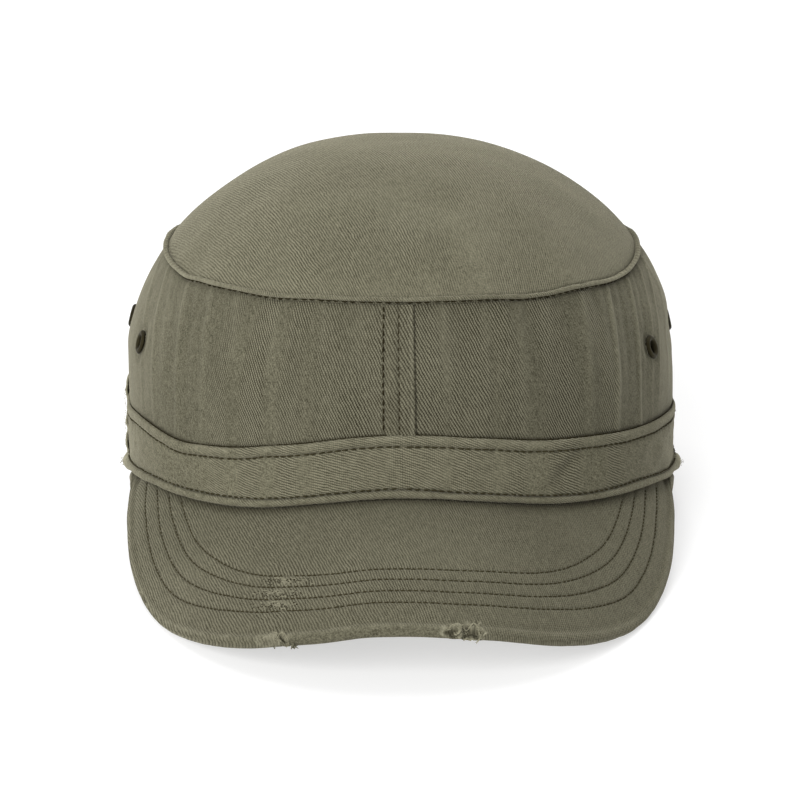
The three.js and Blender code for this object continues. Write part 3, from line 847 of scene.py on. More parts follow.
def cloth_wall(turn, share, out=0.0):
    """The wall's outside with its folds, puckers and swellings and the cloth's unevenness."""
    turn, share = np.broadcast_arrays(np.asarray(turn, float), np.asarray(share, float))
    girth = run_at(turn)
    upright = noise_at(girth, share * 16, 6, 5) * unit((share - 0.25) * 4)
    uneven = 0.10 * noise_at(girth, share * 62, 9, 3) + 0.16 * upright
    tuck = -0.25 * unit((share - 0.98) / 0.02)
    pucker = puckers_at(turn, share, PUCKERS) + puckers_at(turn, share, SMALL_PUCKERS)
    return wall_point(turn, share, out + uneven + tuck + pucker + swellings_at(turn, share))


def wall_panel(name, start, end, material):
    mesh, across, up = grid(WALL_COLUMNS, WALL_ROWS)
    from_front = across if name == "left" else 1 - across
    from_front = from_front * (0.62 + 0.38 * from_front**2)
    turn = start + (end - start) * (from_front if name == "left" else 1 - from_front)
    points = cloth_wall(turn, up)
    foot = wall_foot(turn)
    height = wall_height(turn, up)
    girth = run_at(turn)
    set_uv(mesh, girth_at(turn, up) * MM, height * MM)
    hole = np.zeros(len(points), bool)
    for _, side, y, z in EYELETS:
        at = side * turn_at_y(y)
        middle = cloth_wall(at, share_at(at, z))
        distance = np.linalg.norm(points - middle, axis=1)
        dent = -EYELET_DENT["depth"] * hump(distance - EYELET_DENT["radius"], EYELET_DENT["width"])
        points += outward_of(points) * dent[:, None]
        hole |= distance < EYELET["barrel"] - 0.25
    over_lip = height - foot - BAND_HEIGHT + band_sag(turn, BAND_HEIGHT)
    # Painted shade: a dark line under the rim's ridge and a shadow line just above the band's lip.
    seam = 0.35 * unit((up - 0.985) / 0.015) + 0.6 * soft_step((0.8 - over_lip) / 0.6)
    relief = puckers_at(turn, up, PUCKERS) + 0.12 * folds_at(turn, up)
    streaks = unit(noise_at(girth, height * 0.4, 7, 8))
    # Pucker crests paler, partly wear and partly painted highlight; their valleys darker as painted shade.
    set_value(mesh, "wear_and_painted_light", 0.34 * unit(relief) + 0.04 * streaks)
    set_value(mesh, "seam", unit(seam) + 0.22 * unit(-relief))
    set_value(mesh, "crisp", crisp_at(turn))
    node = "wall_panel_" + name
    mesh.vertices.foreach_set("co", stand(points).ravel())
    shape = bmesh.new()
    shape.from_mesh(mesh)
    shape.verts.ensure_lookup_table()
    bmesh.ops.delete(shape, geom=[shape.verts[i] for i in np.flatnonzero(hole)], context="VERTS")
    shape.to_mesh(mesh)
    shape.free()
    piece = finish_piece("cloth_wall_" + name, mesh, material, [node], outward=CAP_MIDDLE)
    thicken(piece, WALL_CLOTH)


def outward_of(points):
    """Level direction away from the cap's upright middle line."""
    return direction(points * [1, 0.85, 0])


CAP_MIDDLE = stand([(0, 0, 40)])[0]


# The felled seams

def felled_seam(name, is_front, foot, slant, material):
    """A seam whose edge is folded to one side and held by rows of stitches."""
    width = SEAM["width"]
    mesh, across, up = grid(*SEAM_GRID)
    turn, share = seam_place(is_front, foot, slant, up, (1 - across) * width)
    fold = across * width
    crown = SEAM_CROWN["height"] * unit(fold / SEAM_CROWN["over"]) ** SEAM_CROWN["power"] + 0.06
    rounded = unit((width - fold) / SEAM_CROWN["rounding"])
    height = crown * np.sqrt(unit(1 - (1 - rounded) ** 2))
    beside = width - fold
    ripple = 0.5 + 0.5 * np.sin(up * 2 * pi * SEAM_RIPPLES)
    for row, depth in SEAM_GROOVES:
        height -= depth * (0.7 + 0.3 * ripple) * hump(beside - row, 0.55)
    height += 0.06 * noise_at(fold, up * 45, 2.2, 21)
    points = cloth_wall(turn, share, np.clip(height, 0.03, None))
    set_uv(mesh, girth_at(turn, share) * MM, wall_height(turn, share) * MM)
    groove = sum(depth * hump(beside - row, 0.45) for row, depth in SEAM_GROOVES)
    set_value(mesh, "wear_and_painted_light", 0.16 * hump(beside - 1.2, 0.5) * (0.5 + 0.5 * ripple))
    # Painted shade: darker in the stitch grooves, with a shadow line along the folded edge.
    set_value(mesh, "seam", 1.0 * groove + hump(beside, 0.4))
    set_value(mesh, "crisp", 1.0)
    finish_piece("cloth_" + name, mesh, material, [name], points, outward=CAP_MIDDLE)


SEAM_GRID = (40, 150)
SEAM_CROWN = dict(height=0.86, over=2.2, power=0.6, rounding=0.7)
SEAM_RIPPLES = 21
# The seam's stitch rows: distance from its folded edge, height over the wall and thickness of thread,
# and the grooves that they lie in: distance and depth.
SEAM_ROWS = [(0.6, 0.50, 1.0), (4.9, 0.62, 0.7), (9.4, 0.24, 1.05)]
SEAM_GROOVES = [(4.9, 0.30), (9.4, 0.42)]


def seam_x(foot, slant, up, from_fold):
    """Place across the seam, which keeps its width where the wall narrows towards the rim."""
    wider = 1 + 0.155 * unit((up - 0.36) / 0.64) ** LEAN_POWER
    return foot + slant * up + (SEAM["width"] / 2 - from_fold) * wider


def seam_place(is_front, foot, slant, up, from_fold):
    """Turn, and share of the wall's height, of a place on a seam."""
    x = seam_x(foot, slant, up, from_fold)
    turn = turn_at_x(x) if is_front else pi - turn_at_x(x)
    band_top = share_at(turn, wall_foot(turn) + BAND_HEIGHT + GAP)
    rim_low = share_at(turn, rim_edge(turn) - GAP)
    return turn, band_top + (rim_low - band_top) * up


def felled_stitches(is_front, foot, slant):
    rows = []
    up = np.linspace(0.01, 0.985, 120)
    for number, (row, height, thickness) in enumerate(SEAM_ROWS):
        turn, share = seam_place(is_front, foot, slant, up, row)
        path = cloth_wall(turn, share, height)
        row_stitches = stitches(path, outward_of(path), "seam", 31 + number)
        rows += [(points, np.array(sizes) * thickness) for points, sizes in row_stitches]
    return rows


# The ridge round the rim

RING_COLUMNS = 900
RIM_CORNER = dict(turn=60, wide=14)  # where the ridge bends most, at both sides, and is rubbed pale


def noise_along(run, size, seed):
    """Unevenness along a ring, the same all over its section."""
    return noise_at(run, 0 * run, size, seed)


def ring(node, material, profile, place, samples, wear_and_painted_light, seam, upwards=1):
    """A closed ring round the cap: a closed profile of [out, up] carried round by place(turn, out, up)."""
    outline, girth = smooth_profile(profile, samples)
    mesh, around, section = grid(RING_COLUMNS, samples)
    turn = around * 2 * pi
    index = np.round(section * samples).astype(int) % samples
    out, up = outline[index, 0], outline[index, 1]
    points = place(turn, out, up)
    set_uv(mesh, run_at(turn) * MM, section * girth * upwards * MM)
    set_value(mesh, "wear_and_painted_light", wear_and_painted_light(turn, out, up))
    set_value(mesh, "seam", seam(turn, out, up))
    set_value(mesh, "crisp", crisp_at(turn))
    finish_piece("cloth_" + node, mesh, material, [node], points, weld=True)


RIDGE_PROFILE = [
    (-0.5, -0.2), (-0.2, -0.4), (0.02, -0.1), (0.06, 0.35), (0.6, 0.45), (1.1, 0.75), (1.25, 1.2),
    (1.0, 1.6), (0.5, 1.75), (-0.1, 1.6), (-0.5, 0.7),
]


def rim_ridge_at(turn, out, up):
    run = turn / (2 * pi) * RIM_GIRTH
    size = 1 + 0.07 * noise_along(run, 5, 41) + 0.05 * np.sin(run * 2 * pi / 2.6)
    out = out * size
    up = up * size + 0.16 * noise_along(run, 14, 42)
    out = out + 0.16 * noise_along(run, 11, 43)
    plan = wall_plan(turn, np.ones_like(turn), out)
    return raised(plan, rim_edge(turn) + up)


def rim_ridge():
    def wear_and_painted_light(turn, out, up):
        crown = unit((out - 0.4) / 0.8)
        degrees = np.abs(np.degrees(turn + pi) % 360 - 180)
        corner = hump(degrees - RIM_CORNER["turn"], RIM_CORNER["wide"])
        return crown * (0.14 + 0.30 * corner) * (0.8 + 0.5 * noise_at(turn * 80, up, 6, 44))

    def seam(turn, out, up):
        # Painted shadow: a dark line along the ridge's low side, against the wall.
        return 0.5 * hump(up - 0.3, 0.28) * (out < 0.6)

    ring("rim_ridge", TWILL["ridge"], RIDGE_PROFILE, rim_ridge_at, 24, wear_and_painted_light, seam)


def rim_stitches():
    turn = np.linspace(0, 2 * pi, 1200)
    full = np.ones_like(turn)
    path = rim_ridge_at(turn, full * 0.26, full * 0.24)
    return stitches(path, outward_of(path), "rim", 45)


# The top

TOP_GRID = (320, 74)
GATHERS = dict(turn=28, wide=24, reach=20)  # fine gathers above the rim at the front's right
CLEAREST = dict(x=-36, y=-66, wide=20)  # where the top's weave shows best, in plan


def cloth_top():
    mesh, around, share = grid(*TOP_GRID)
    turn = around * 2 * pi
    share = share**0.9
    points = top_point(turn, share)
    plan = points[:, :2]
    inward = (1 - share) * RIM["half_width"]
    pleats = 0.22 * noise(oval_at(RIM, turn), 3.2, 51) * np.exp(-inward / 7)
    broad = 0.9 * noise(plan, 34, 52) * (1 - share**4) + 0.18 * noise(plan, 11, 53) * (1 - share**6)
    beside = soft_step((np.abs(degrees_of(turn)) - 55) / 20)
    hollow = -0.8 * np.exp(-inward / 4) - 0.8 * beside * hump(inward, 1.2)
    to_side = np.maximum(np.sin(turn), -0.6 * np.sin(turn))
    fuller = (0.45 + 0.6 * to_side * share) * (1 - share**10)
    degrees = degrees_of(turn)
    gathered = hump(degrees - GATHERS["turn"], GATHERS["wide"], 4) * hump(inward, GATHERS["reach"])
    gathers = noise(oval_at(RIM, turn), 4.2, 56) * gathered
    points[:, 2] += pleats + broad + hollow + fuller + 0.3 * gathers
    spread = 1 + 0.17 * DOME_STEEP**2 * share ** (2 * DOME_POWER - 2)
    set_uv(mesh, plan[:, 0] * spread * MM, plan[:, 1] * spread * MM)
    worn = 0.12 * unit(noise(plan, 12, 54)) + 0.10 * np.exp(-inward / 3)
    set_value(mesh, "wear_and_painted_light", worn + 0.10 * unit(gathers))
    # Painted shade: a dark line inside the ridge along the rim, darker at the sides.
    set_value(mesh, "seam", (0.15 + 0.5 * beside) * hump(inward, 0.7))
    off = np.hypot(plan[:, 0] - CLEAREST["x"], plan[:, 1] - CLEAREST["y"])
    clearest = hump(off, CLEAREST["wide"])
    set_value(mesh, "crisp", 1 + 0.4 * noise(plan, 22, 55) + 0.45 * clearest - 1.1 * gathers)
    piece = finish_piece(
        "cloth_top", mesh, TWILL["top"], ["crown_top"], points, weld=True, outward=CAP_MIDDLE,
    )
    thicken(piece, TOP_CLOTH)


# The band and the rolled edge below it

BAND_PROFILE = [
    (0.3, 0.4), (0.3, 4), (0.3, 8), (0.3, 12), (0.35, 14.6), (0.7, 15.15), (1.2, 15.2), (1.65, 14.8),
    (1.85, 13.8), (1.75, 12.9), (1.4, 12.25), (0.95, 11.95), (1.25, 11.4), (1.4, 10), (1.4, 7),
    (1.36, 4), (1.28, 1.0), (1.05, 0.05), (0.7, -0.22), (0.38, -0.05),
]
LIP_LINE = 11.95
BAND_SQUEEZE = dict(turn=92, wide=10, depth=1.1)


def crease_at(degrees, up):
    """Distance above the slanting crease at the band's right, which rises 9 mm over 8.5 degrees."""
    return (up - 3) - (degrees - 29.5) * 9 / 8.5


def band_at(turn, out, up):
    run = run_at(turn)
    face = unit(out / 1.3)
    lip = unit((up - LIP_LINE) / 0.6)
    ripple = 0.09 * np.sin(run * 2 * pi / 2.5 + 2 * noise_along(run, 9, 61))
    uneven = 0.28 * noise_at(run, up * 1.5, 9, 62) + 0.10 * noise_at(run, up * 2, 3, 63)
    degrees = np.degrees(turn)
    crease = crease_at(degrees, up)
    fold = -0.55 * hump(crease, 2.4) + 0.4 * hump(crease - 3.6, 2.0)
    fold = fold * hump(degrees - 34, 4.5) * (1 - lip)
    pinch = (up - 9) + (degrees - 86) * 2.2
    pinch = 0.35 * hump(pinch, 1.6) * hump(degrees - 86, 4) * (1 - lip)
    out = out + face * (uneven * (1 - lip * 0.6) + ripple * hump(up - LIP_LINE, 1.3) + fold + pinch)
    out = out - face * BAND_SQUEEZE["depth"] * hump(degrees - BAND_SQUEEZE["turn"], BAND_SQUEEZE["wide"])
    up = up + face * 0.28 * noise_along(run, 13, 64) * unit(up / 8)
    plan = wall_plan(turn, np.zeros_like(turn), np.maximum(out, 0.28))
    return raised(plan, wall_foot(turn) + up - band_sag(turn, up))


def band():
    def wear_and_painted_light(turn, out, up):
        run = run_at(turn)
        crown = hump(up - 14.6, 0.9) * (out > 1)
        degrees = degrees_of(turn)
        # Painted light: the band is a little paler towards the front.
        faded = 0.06 * hump(degrees, 28)
        return faded + 0.16 * crown * (0.7 + 0.6 * noise_along(run, 4, 65))

    def seam(turn, out, up):
        # Painted shade: dark in the groove under the lip, at the foot over the rolled edge, along the crease,
        # where the lip tucks against the wall, and darker towards the right side.
        groove = hump(up - LIP_LINE, 0.38) * (out < 1.6)
        foot = unit((0.5 - up) / 0.5)
        degrees = degrees_of(turn)
        crease = hump(crease_at(degrees, up) - 1.0, 2.2) * hump(degrees - 34, 4) * (up < LIP_LINE)
        tucked = soft_step((up - 14.7) / 0.3) * soft_step((1.15 - out) / 0.3)
        grime_and_painted_shade = 0.09 * soft_step((degrees - 28) / 26) * (degrees < 100)
        return unit(0.42 * groove + 0.4 * foot + 0.18 * crease + grime_and_painted_shade + tucked)

    ring("band", TWILL["band"], BAND_PROFILE, band_at, 62, wear_and_painted_light, seam, upwards=-1)


def lip_stitches_and_shadow_line():
    """The close row of dark stitches in the crease between the band's lip and the wall, which also stands in
    for the painted shadow line in that crease.
    """
    turn = np.linspace(0, 2 * pi, 1500)
    path = band_at(turn, np.full_like(turn, 0.62), np.full_like(turn, 15.25))
    return stitches(path, outward_of(path), "lip", 67)


def band_stitches():
    turn = np.linspace(0, 2 * pi, 1500)
    full = np.full_like(turn, 1.0)
    path = band_at(turn, full * 1.32, full * LIP_LINE)
    return stitches(path, outward_of(path), "band", 66)


ROLL_PROFILE = [
    (-1.3, 0.9), (-0.8, 0.15), (0.1, -0.02), (0.9, 0.1), (1.6, 0.55), (1.95, 1.3), (1.9, 2.2), (1.5, 2.85),
    (0.8, 3.15), (-0.2, 3.1), (-1.1, 2.8), (-1.35, 1.9),
]


def roll_at(turn, out, up):
    run = run_at(turn)
    place = np.stack([run, 0 * run], -1)
    nub = nub_at(turn)
    lumps = 1 + 0.35 * noise_at(run, out * 2 + up, 1.9, 75)
    size = 1 + 0.06 * noise(place, 6, 71) + 0.035 * np.sin(run * 2 * pi / 2.4) + 0.45 * nub * lumps
    out = 0.3 + (out - 0.3) * size + 0.15 * noise(place, 15, 72) + 0.6 * nub
    share = unit(up / ROLL)
    drop = sag_at(ROLL_SAG, turn) * (1 - share) + sag_at(FOOT_SAG, turn) * share
    up = 1.55 + (up - 1.55) * size - drop
    plan = wall_plan(turn, np.zeros_like(turn), out)
    return raised(plan, low_edge(turn) + up)


def rolled_edge():
    def wear_and_painted_light(turn, out, up):
        run = run_at(turn)
        crown = unit((out - 0.9) / 0.9)
        worn = 0.10 * crown * (0.75 + 0.5 * noise_along(run, 5, 73))
        return worn + 0.8 * nub_at(turn) * unit(out)

    def seam(turn, out, up):
        # Painted shade: dark lines where the roll meets the band and along its low side.
        painted_shade_lines = 0.45 * unit((up - 2.9) / 0.2) + 0.7 * unit((0.45 - up) / 0.35)
        return painted_shade_lines * (1 - 0.6 * nub_at(turn))

    ring("rolled_edge", TWILL["roll"], ROLL_PROFILE, roll_at, 30, wear_and_painted_light, seam)


def roll_stitches():
    turn = np.linspace(0, 2 * pi, 1500)
    plan = wall_plan(turn, np.zeros_like(turn), np.full_like(turn, 1.42))
    path = raised(plan, low_edge(turn) + ROLL + 0.55 - sag_at(FOOT_SAG, turn))
    return stitches(path, outward_of(path), "roll", 74)


# The peak

PEAK_COLUMNS = 420
PEAK_TOP_ROWS = 140
PEAK_EDGE_ROWS = 16
PEAK_UNDER_ROWS = 26
CROWDED = [(-0.265, 0.05), (0.135, 0.045)]  # where columns crowd along the edge, and how wide
CREST = 1.3  # where the hem's crest lies in from the edge
HEM_END = 3.0
EDGE_GIRTH = 4.2  # round the peak's edge from its top to its underside
CHANNEL = dict(depth=0.26, wide=0.55)  # pressed in by each stitch row


def tear_at(x, inset):
    """How far a place lies from the nearest torn spot, as a share of the spot's size, and its pit."""
    nearest, depth = np.full_like(x, 9.0), np.zeros_like(x)
    for middle, deep, half_width, half_depth, pit in TEARS:
        off = np.hypot((x - middle) / half_width, (inset - deep) / half_depth)
        depth = np.where(off < nearest, pit, depth)
        nearest = np.minimum(nearest, off)
    return nearest + 0.5 * noise_at(x, inset, 1.3, 83), depth


def rubbed_at(x, inset):
    """How rubbed a place is: blotches between the stitch rows."""
    rubbed = 0
    for middle, deep, half_width in RUBBED:
        off = np.hypot((x - middle) / half_width, (inset - deep) / RUBBED_DEPTH)
        rubbed = np.maximum(rubbed, unit(1.4 - 1.1 * off))
    blotch = noise_at(x, inset * 1.8, 2.2, 85)
    return rubbed * unit(0.55 + 1.1 * blotch)


def peak_relief(across, out):
    """Height of the top cloth over the plain peak: channels at the stitches, the hem's crest, tears."""
    inset = peak_inset(across, out)
    point = peak_point(across, out)
    x = point[..., 0]
    relief = np.zeros_like(inset)
    for row in PEAK_ROWS:
        relief -= CHANNEL["depth"] * hump(inset - row_inset(row, across), CHANNEL["wide"])
    relief += 0.30 * hump(inset - CREST, 0.8) - 0.20 * hump(inset - HEM_END, 1.1)
    relief += 0.10 * noise(point[..., :2], 7, 81) + 0.22 * noise(point[..., :2], 26, 82)
    off, pit = tear_at(x, inset)
    relief -= pit * soft_step((1.05 - off) / 0.35) * (1 + 0.5 * noise(point[..., :2], 0.9, 85))
    relief += 0.5 * pit * hump(off - 1.2, 0.22) * (0.6 + 1.1 * noise(point[..., :2], 1.0, 84))
    relief += 0.16 * rubbed_at(x, inset) * (1 + noise_at(x, inset * 3.5, 1.2, 86))
    return relief


def peak_top(across, out):
    relief = peak_relief(across, out)
    return peak_point(across, out) + peak_normal(across, out) * relief[..., None]


def peak_columns(side):
    """Places along the peak's edge from evenly spaced shares, closer together at the torn spots."""
    even = np.linspace(-1, 1, 2001)
    crowd = 1 + sum(3.0 * hump(even - middle, wide) for middle, wide in CROWDED)
    run = np.concatenate([[0], np.cumsum((crowd[1:] + crowd[:-1]) / 2)])
    return np.interp(side, run / run[-1], even)


def peak():
    rows = PEAK_TOP_ROWS + PEAK_EDGE_ROWS + PEAK_UNDER_ROWS
    mesh, side, section = grid(PEAK_COLUMNS, rows)
    across = peak_columns(side)
    step = np.round(section * rows).astype(int)
    on_top = step <= PEAK_TOP_ROWS
    on_edge = (step > PEAK_TOP_ROWS) & (step < PEAK_TOP_ROWS + PEAK_EDGE_ROWS)
    out_top = (step / PEAK_TOP_ROWS).clip(0, 1) ** 0.75
    out_under = 1 - ((step - PEAK_TOP_ROWS - PEAK_EDGE_ROWS) / PEAK_UNDER_ROWS).clip(0, 1)
    thickness = PEAK["thickness"]
    top = peak_top(across, out_top)
    under = peak_point(across, out_under) - peak_normal(across, out_under) * thickness
    under += peak_normal(across, out_under) * (0.18 * noise(under[:, :2], 9, 86))[:, None]
    ones = np.ones_like(across)
    edge_top = peak_top(across, ones)
    edge_under = peak_point(across, ones) - peak_normal(across, ones) * thickness
    outward = direction(peak_point(across, ones) - peak_point(across, ones * 0.97))
    bend = ((step - PEAK_TOP_ROWS) / PEAK_EDGE_ROWS).clip(0, 1) * pi
    middle = (edge_top + edge_under) / 2
    arm = (edge_top - edge_under) / 2
    inset = np.where(on_top, peak_inset(across, out_top), -EDGE_GIRTH * bend / pi)
    off, pit = tear_at(middle[:, 0], inset)
    ragged = unit(1.7 - off) * noise(middle[:, :2], 1.1, 90)
    lumps = 1 + 0.6 * noise_at(middle[:, 0], inset, 0.9, 85)
    bitten = pit * lumps * soft_step((1.05 - off) / 0.35)
    bulge = 0.75 + 0.12 * noise(middle[:, :2], 3, 87) + 0.35 * ragged - bitten
    edge = middle + arm * np.cos(bend)[:, None] + outward * (np.sin(bend) ** 0.8 * bulge)[:, None]
    points = np.where(on_top[:, None], top, np.where(on_edge[:, None], edge, under))
    points[:, 0] -= np.sign(across) * 1.2 * soft_step((np.abs(across) - 0.91) / 0.08)
    x, y = points[:, 0], points[:, 1]
    a = np.abs(x) / PEAK["half_width"]
    unrolled = np.sign(x) * PEAK["half_width"] * (a + 0.08 * a**3 + 0.10 * a**5)
    down = y * 1.12 - np.where(on_top, 0, (step - PEAK_TOP_ROWS) * 0.22)
    set_uv(mesh, unrolled * MM, down * MM)
    off, pit = tear_at(x, inset)
    rubbed = rubbed_at(x, inset) * on_top
    crest = hump(inset - CREST, 0.7) * on_top
    strands = 0.5 + 0.5 * noise_at(x, inset * 0.1, 0.9, 88)
    wear_and_painted_light = 0.22 * crest * (0.7 + 0.5 * noise(points[:, :2], 2.5, 89)) * (0.6 + 0.6 * strands)
    torn = hump(off - 1.25, 0.3) * unit(1.3 * pit) * (on_top | on_edge)
    threadbare = unit(1.6 - off) * (pit < 0.3) * (on_top | on_edge)
    wear_and_painted_light += 0.8 * torn * (0.6 + 0.8 * noise(points[:, :2], 0.8, 91)) + 0.3 * rubbed
    wear_and_painted_light += 0.4 * threadbare * (0.7 + 0.6 * noise(points[:, :2], 1.1, 93))
    # Painted light: the middle of the peak, back from its edge, a little paler.
    wear_and_painted_light += 0.045 * hump(x + 4, 30) * soft_step((inset - 12) / 12) * on_top
    # Painted shade: darker in the stitch channels, in the tear pits, at the root under the rolled edge, under
    # the hem and on the underside, and towards the right side.
    channels = 0
    for row in PEAK_ROWS:
        channels = channels + hump(inset - row_inset(row, across), 0.35) * on_top
    ply = 0.5 + 0.5 * noise_at(x * 0.5, inset, 0.8, 92)
    hollow = soft_step((1.05 - off) / 0.3) * unit(pit) * (on_top | on_edge) * (0.45 + 0.7 * ply)
    root = hump(out_top * 50, 3.0) * on_top
    low_hem = soft_step((bend / pi - 0.45) / 0.4) * on_edge
    grime_and_painted_shade = 0.06 * soft_step((x - 22) / 24) + 0.05 * (1 - on_top)
    seam = 0.42 * channels + 0.72 * hollow + 0.85 * root + 0.12 * low_hem + grime_and_painted_shade
    set_value(mesh, "wear_and_painted_light", unit(wear_and_painted_light))
    set_value(mesh, "seam", unit(seam))
    smooth_hem = soft_step((1.4 - inset) / 0.8) * soft_step((x + 34) / 4) * soft_step((14 - x) / 4)
    faint = soft_step((x - 22) / 20) * (inset > 3)
    crisp = 1 - 0.85 * smooth_hem - 0.35 * faint + 0.25 * noise(points[:, :2], 18, 94)
    set_value(mesh, "crisp", crisp * (1 - 0.6 * rubbed))
    finish_piece("cloth_peak", mesh, TWILL["peak"], ["peak"], points, weld=True, cap_ends=True)


def peak_stitches():
    rows = []
    rng = np.random.default_rng(95)
    for number, row in enumerate(PEAK_ROWS):
        across = np.linspace(-0.999, 0.999, 1600)
        out = peak_out_at(across, row_inset(row, across))
        keep = out > 0.05
        across, out = across[keep], out[keep]
        path = peak_top(across, out)
        normals = peak_normal(across, out)
        for stitch in stitches(path, normals, "peak", 91 + number):
            x = stitch[0][2][0]
            missing = abs(x + 33) < 5 and rng.random() < 0.25
            if not missing:
                rows.append(stitch)
    return rows


# The side tab

TAB_GRID = (64, 64)


def side_tab():
    mesh, along, up = grid(*TAB_GRID)
    start = -turn_at_y(TAB["start"])
    end = -turn_at_y(TAB["start"] + TAB["length"])
    ragged = 0.45 * noise_at(along * 0, up * 22, 1.3, 101)
    turn = start + (end - start) * along
    turn = turn - np.where(along < 0.02, ragged / 90, 0) + np.where(along > 0.98, ragged / 90, 0)
    z_up = TAB["foot"] + (TAB["height"] + 0.3 - TAB["foot"]) * up
    z_up = z_up + np.where((up < 0.015) | (up > 0.985), 0.4 * noise_at(along * 24, up, 1.3, 102), 0)
    band_top = ROLL + GAP + BAND_HEIGHT
    over_band = GAP + 1.5 + GAP
    over_wall = 2 * GAP
    stepped = soft_step((z_up - band_top) / TAB["step"])
    out = over_band + (over_wall - over_band) * stepped + TAB["cloth"] * 0.6
    out += 0.25 * noise_at(along * 24, z_up, 5, 103)
    out += stepped * swellings_at(turn, unit(share_at(turn, z_up)))
    out += 0.35 * hump(along, 0.06) * noise_at(along * 24, z_up, 2, 104)
    plan = wall_plan(turn, np.zeros_like(turn), out)
    hung = z_up - band_sag(turn, z_up - ROLL)
    points = raised(plan, low_edge(turn) + hung)
    set_uv(mesh, run_at(turn) * MM, z_up * MM)
    border = np.minimum(np.minimum(along, 1 - along) * 24, np.minimum(up, 1 - up) * 22)
    set_value(mesh, "wear_and_painted_light", 0.8 * np.exp(-border / 1.0))
    set_value(mesh, "seam", 0.3 * hump(border - 2.2, 0.4))
    set_value(mesh, "crisp", 0.5)
    piece = finish_piece(
        "cloth_side_tab", mesh, TWILL["wall_right"], ["side_tab"], points, outward=CAP_MIDDLE,
    )
    thicken(piece, TAB["cloth"] * 0.6)


# Frayed threads

def wisps(middle, spread, count, length, aim, seed):
    """Loose threads that start about a place and curl off in a direction."""
    rng = np.random.default_rng(seed)
    rows = []
    for _ in range(count):
        start = np.array(middle) + rng.normal(0, 1, 3) * spread
        heading = direction(np.array(aim) + rng.normal(0, 0.55, 3))
        curl = rng.normal(0, 0.5, 3)
        reach = length * rng.uniform(0.4, 1.2)
        points = [start]
        for _ in range(6):
            heading = direction(heading + curl * 0.35 + rng.normal(0, 0.18, 3))
            points.append(points[-1] + heading * reach / 6)
        rows.append((np.array(points), np.linspace(1, 0.5, 7)))
    return rows


def peak_places(x, inset):
    """Places of the peak's top cloth that lie x to the right and this far in from its edge."""
    low, high = np.full_like(x, -1.0), np.full_like(x, 1.0)
    for _ in range(22):
        middle = (low + high) / 2
        left_of = peak_point(middle, peak_out_at(middle, inset))[:, 0] < x
        low, high = np.where(left_of, middle, low), np.where(left_of, high, middle)
    out = peak_out_at(middle, inset)
    return peak_top(middle, out), peak_normal(middle, out)


def peak_frays():
    rows = []
    rng = np.random.default_rng(111)
    for number, (middle, deep, half_width, half_depth, pit) in enumerate(TEARS):
        count = int(12 * half_width * (0.4 + pit))
        angle = rng.uniform(-0.1 * pi, 1.1 * pi, count)
        off = rng.uniform(0.9, 1.25, count)
        x = middle + np.cos(angle) * half_width * off
        inset = np.maximum(0.1, deep + np.sin(angle) * half_depth * off)
        places, normals = peak_places(x, inset)
        for k in range(count):
            inward = np.array([-cos(angle[k]) * 0.5, sin(angle[k]) * 0.5, 0.0])
            aim = inward + normals[k] * 0.45
            rows += wisps(places[k] + normals[k] * 0.05, 0.10, 1, 1.3, aim, 1000 * number + k)
    return rows


def torn_cords():
    """Thicker ravelled cords along the rims of the larger tear and round the small hole."""
    rng = np.random.default_rng(131)
    rows = []
    for points_x, points_inset in TORN_CORDS:
        run = np.linspace(0, 1, 9)
        keys = np.linspace(0, 1, len(points_x))
        for strand in range(3):
            x = np.interp(run, keys, points_x) + rng.normal(0, 0.12, 9)
            inset = np.interp(run, keys, points_inset) + rng.normal(0, 0.14, 9)
            places, normals = peak_places(x, np.maximum(inset, 0.05))
            places = places + normals * (0.12 + rng.uniform(0, 0.3, 9))[:, None]
            places[:, 2] -= 1.1 * np.clip(-inset, 0, 3)
            rows.append((places, [0.5, 0.9, 1.1, 1.2, 1.1, 1.2, 1.1, 0.9, 0.4]))
    return rows


def hanging_nubs():
    """Matted ends of thread that hang below the peak's edge."""
    rows = []
    places, _ = peak_places(np.array([-30.5, -30.1, -36.0]), np.full(3, 0.1))
    for k, place in enumerate(places):
        start = place + np.array([0, -0.3, -2.2])
        count, length = (12, 1.1) if k < 2 else (3, 0.5)
        rows += wisps(start, 0.25, count, length, np.array([0.1, -0.3, -1.0]), 1900 + k)
    return rows


def rubbed_strands():
    """Bare weft threads that lie across the rubbed patches."""
    rng = np.random.default_rng(121)
    knots = np.linspace(-0.5, 0.5, 5)
    rows = []
    for middle, deep, half_width in RUBBED:
        count = 11
        x = middle + rng.normal(0, 0.5, count) * half_width
        inset = deep + rng.uniform(-0.9, 0.9, count) * RUBBED_DEPTH
        length = rng.uniform(0.6, 1.8, count)
        tilt = rng.normal(0, 0.12, count)
        across = x[:, None] + knots * length[:, None]
        within = inset[:, None] + knots * (length * tilt)[:, None]
        places, normals = peak_places(across.ravel(), within.ravel())
        arch = np.tile(0.08 - 0.5 * knots**2, count)
        strands = (places + normals * arch[:, None]).reshape(count, 5, 3)
        rows += [(strand, [0.5, 1, 1, 1, 0.5]) for strand in strands]
    return rows


def pulled_yarns():
    """Short dark yarns, small as needle holes, beside the stitch rows of the rubbed patches."""
    rng = np.random.default_rng(141)
    rows = []
    count = 48
    for middle, deep, half_width in RUBBED:
        x = middle + rng.uniform(-1.25, 1.05, count) * half_width
        inset = deep - 1.35 + rng.choice([0.0, 0.55, 1.1, 1.7], count) + rng.normal(0, 0.08, count)
        across = np.stack([x - 0.14, x + 0.14], -1)
        places, normals = peak_places(across.ravel(), np.repeat(inset, 2))
        dots = (places + normals * 0.02).reshape(count, 2, 3)
        rows += [(dot, [1.0, 1.0]) for dot in dots]
    return rows


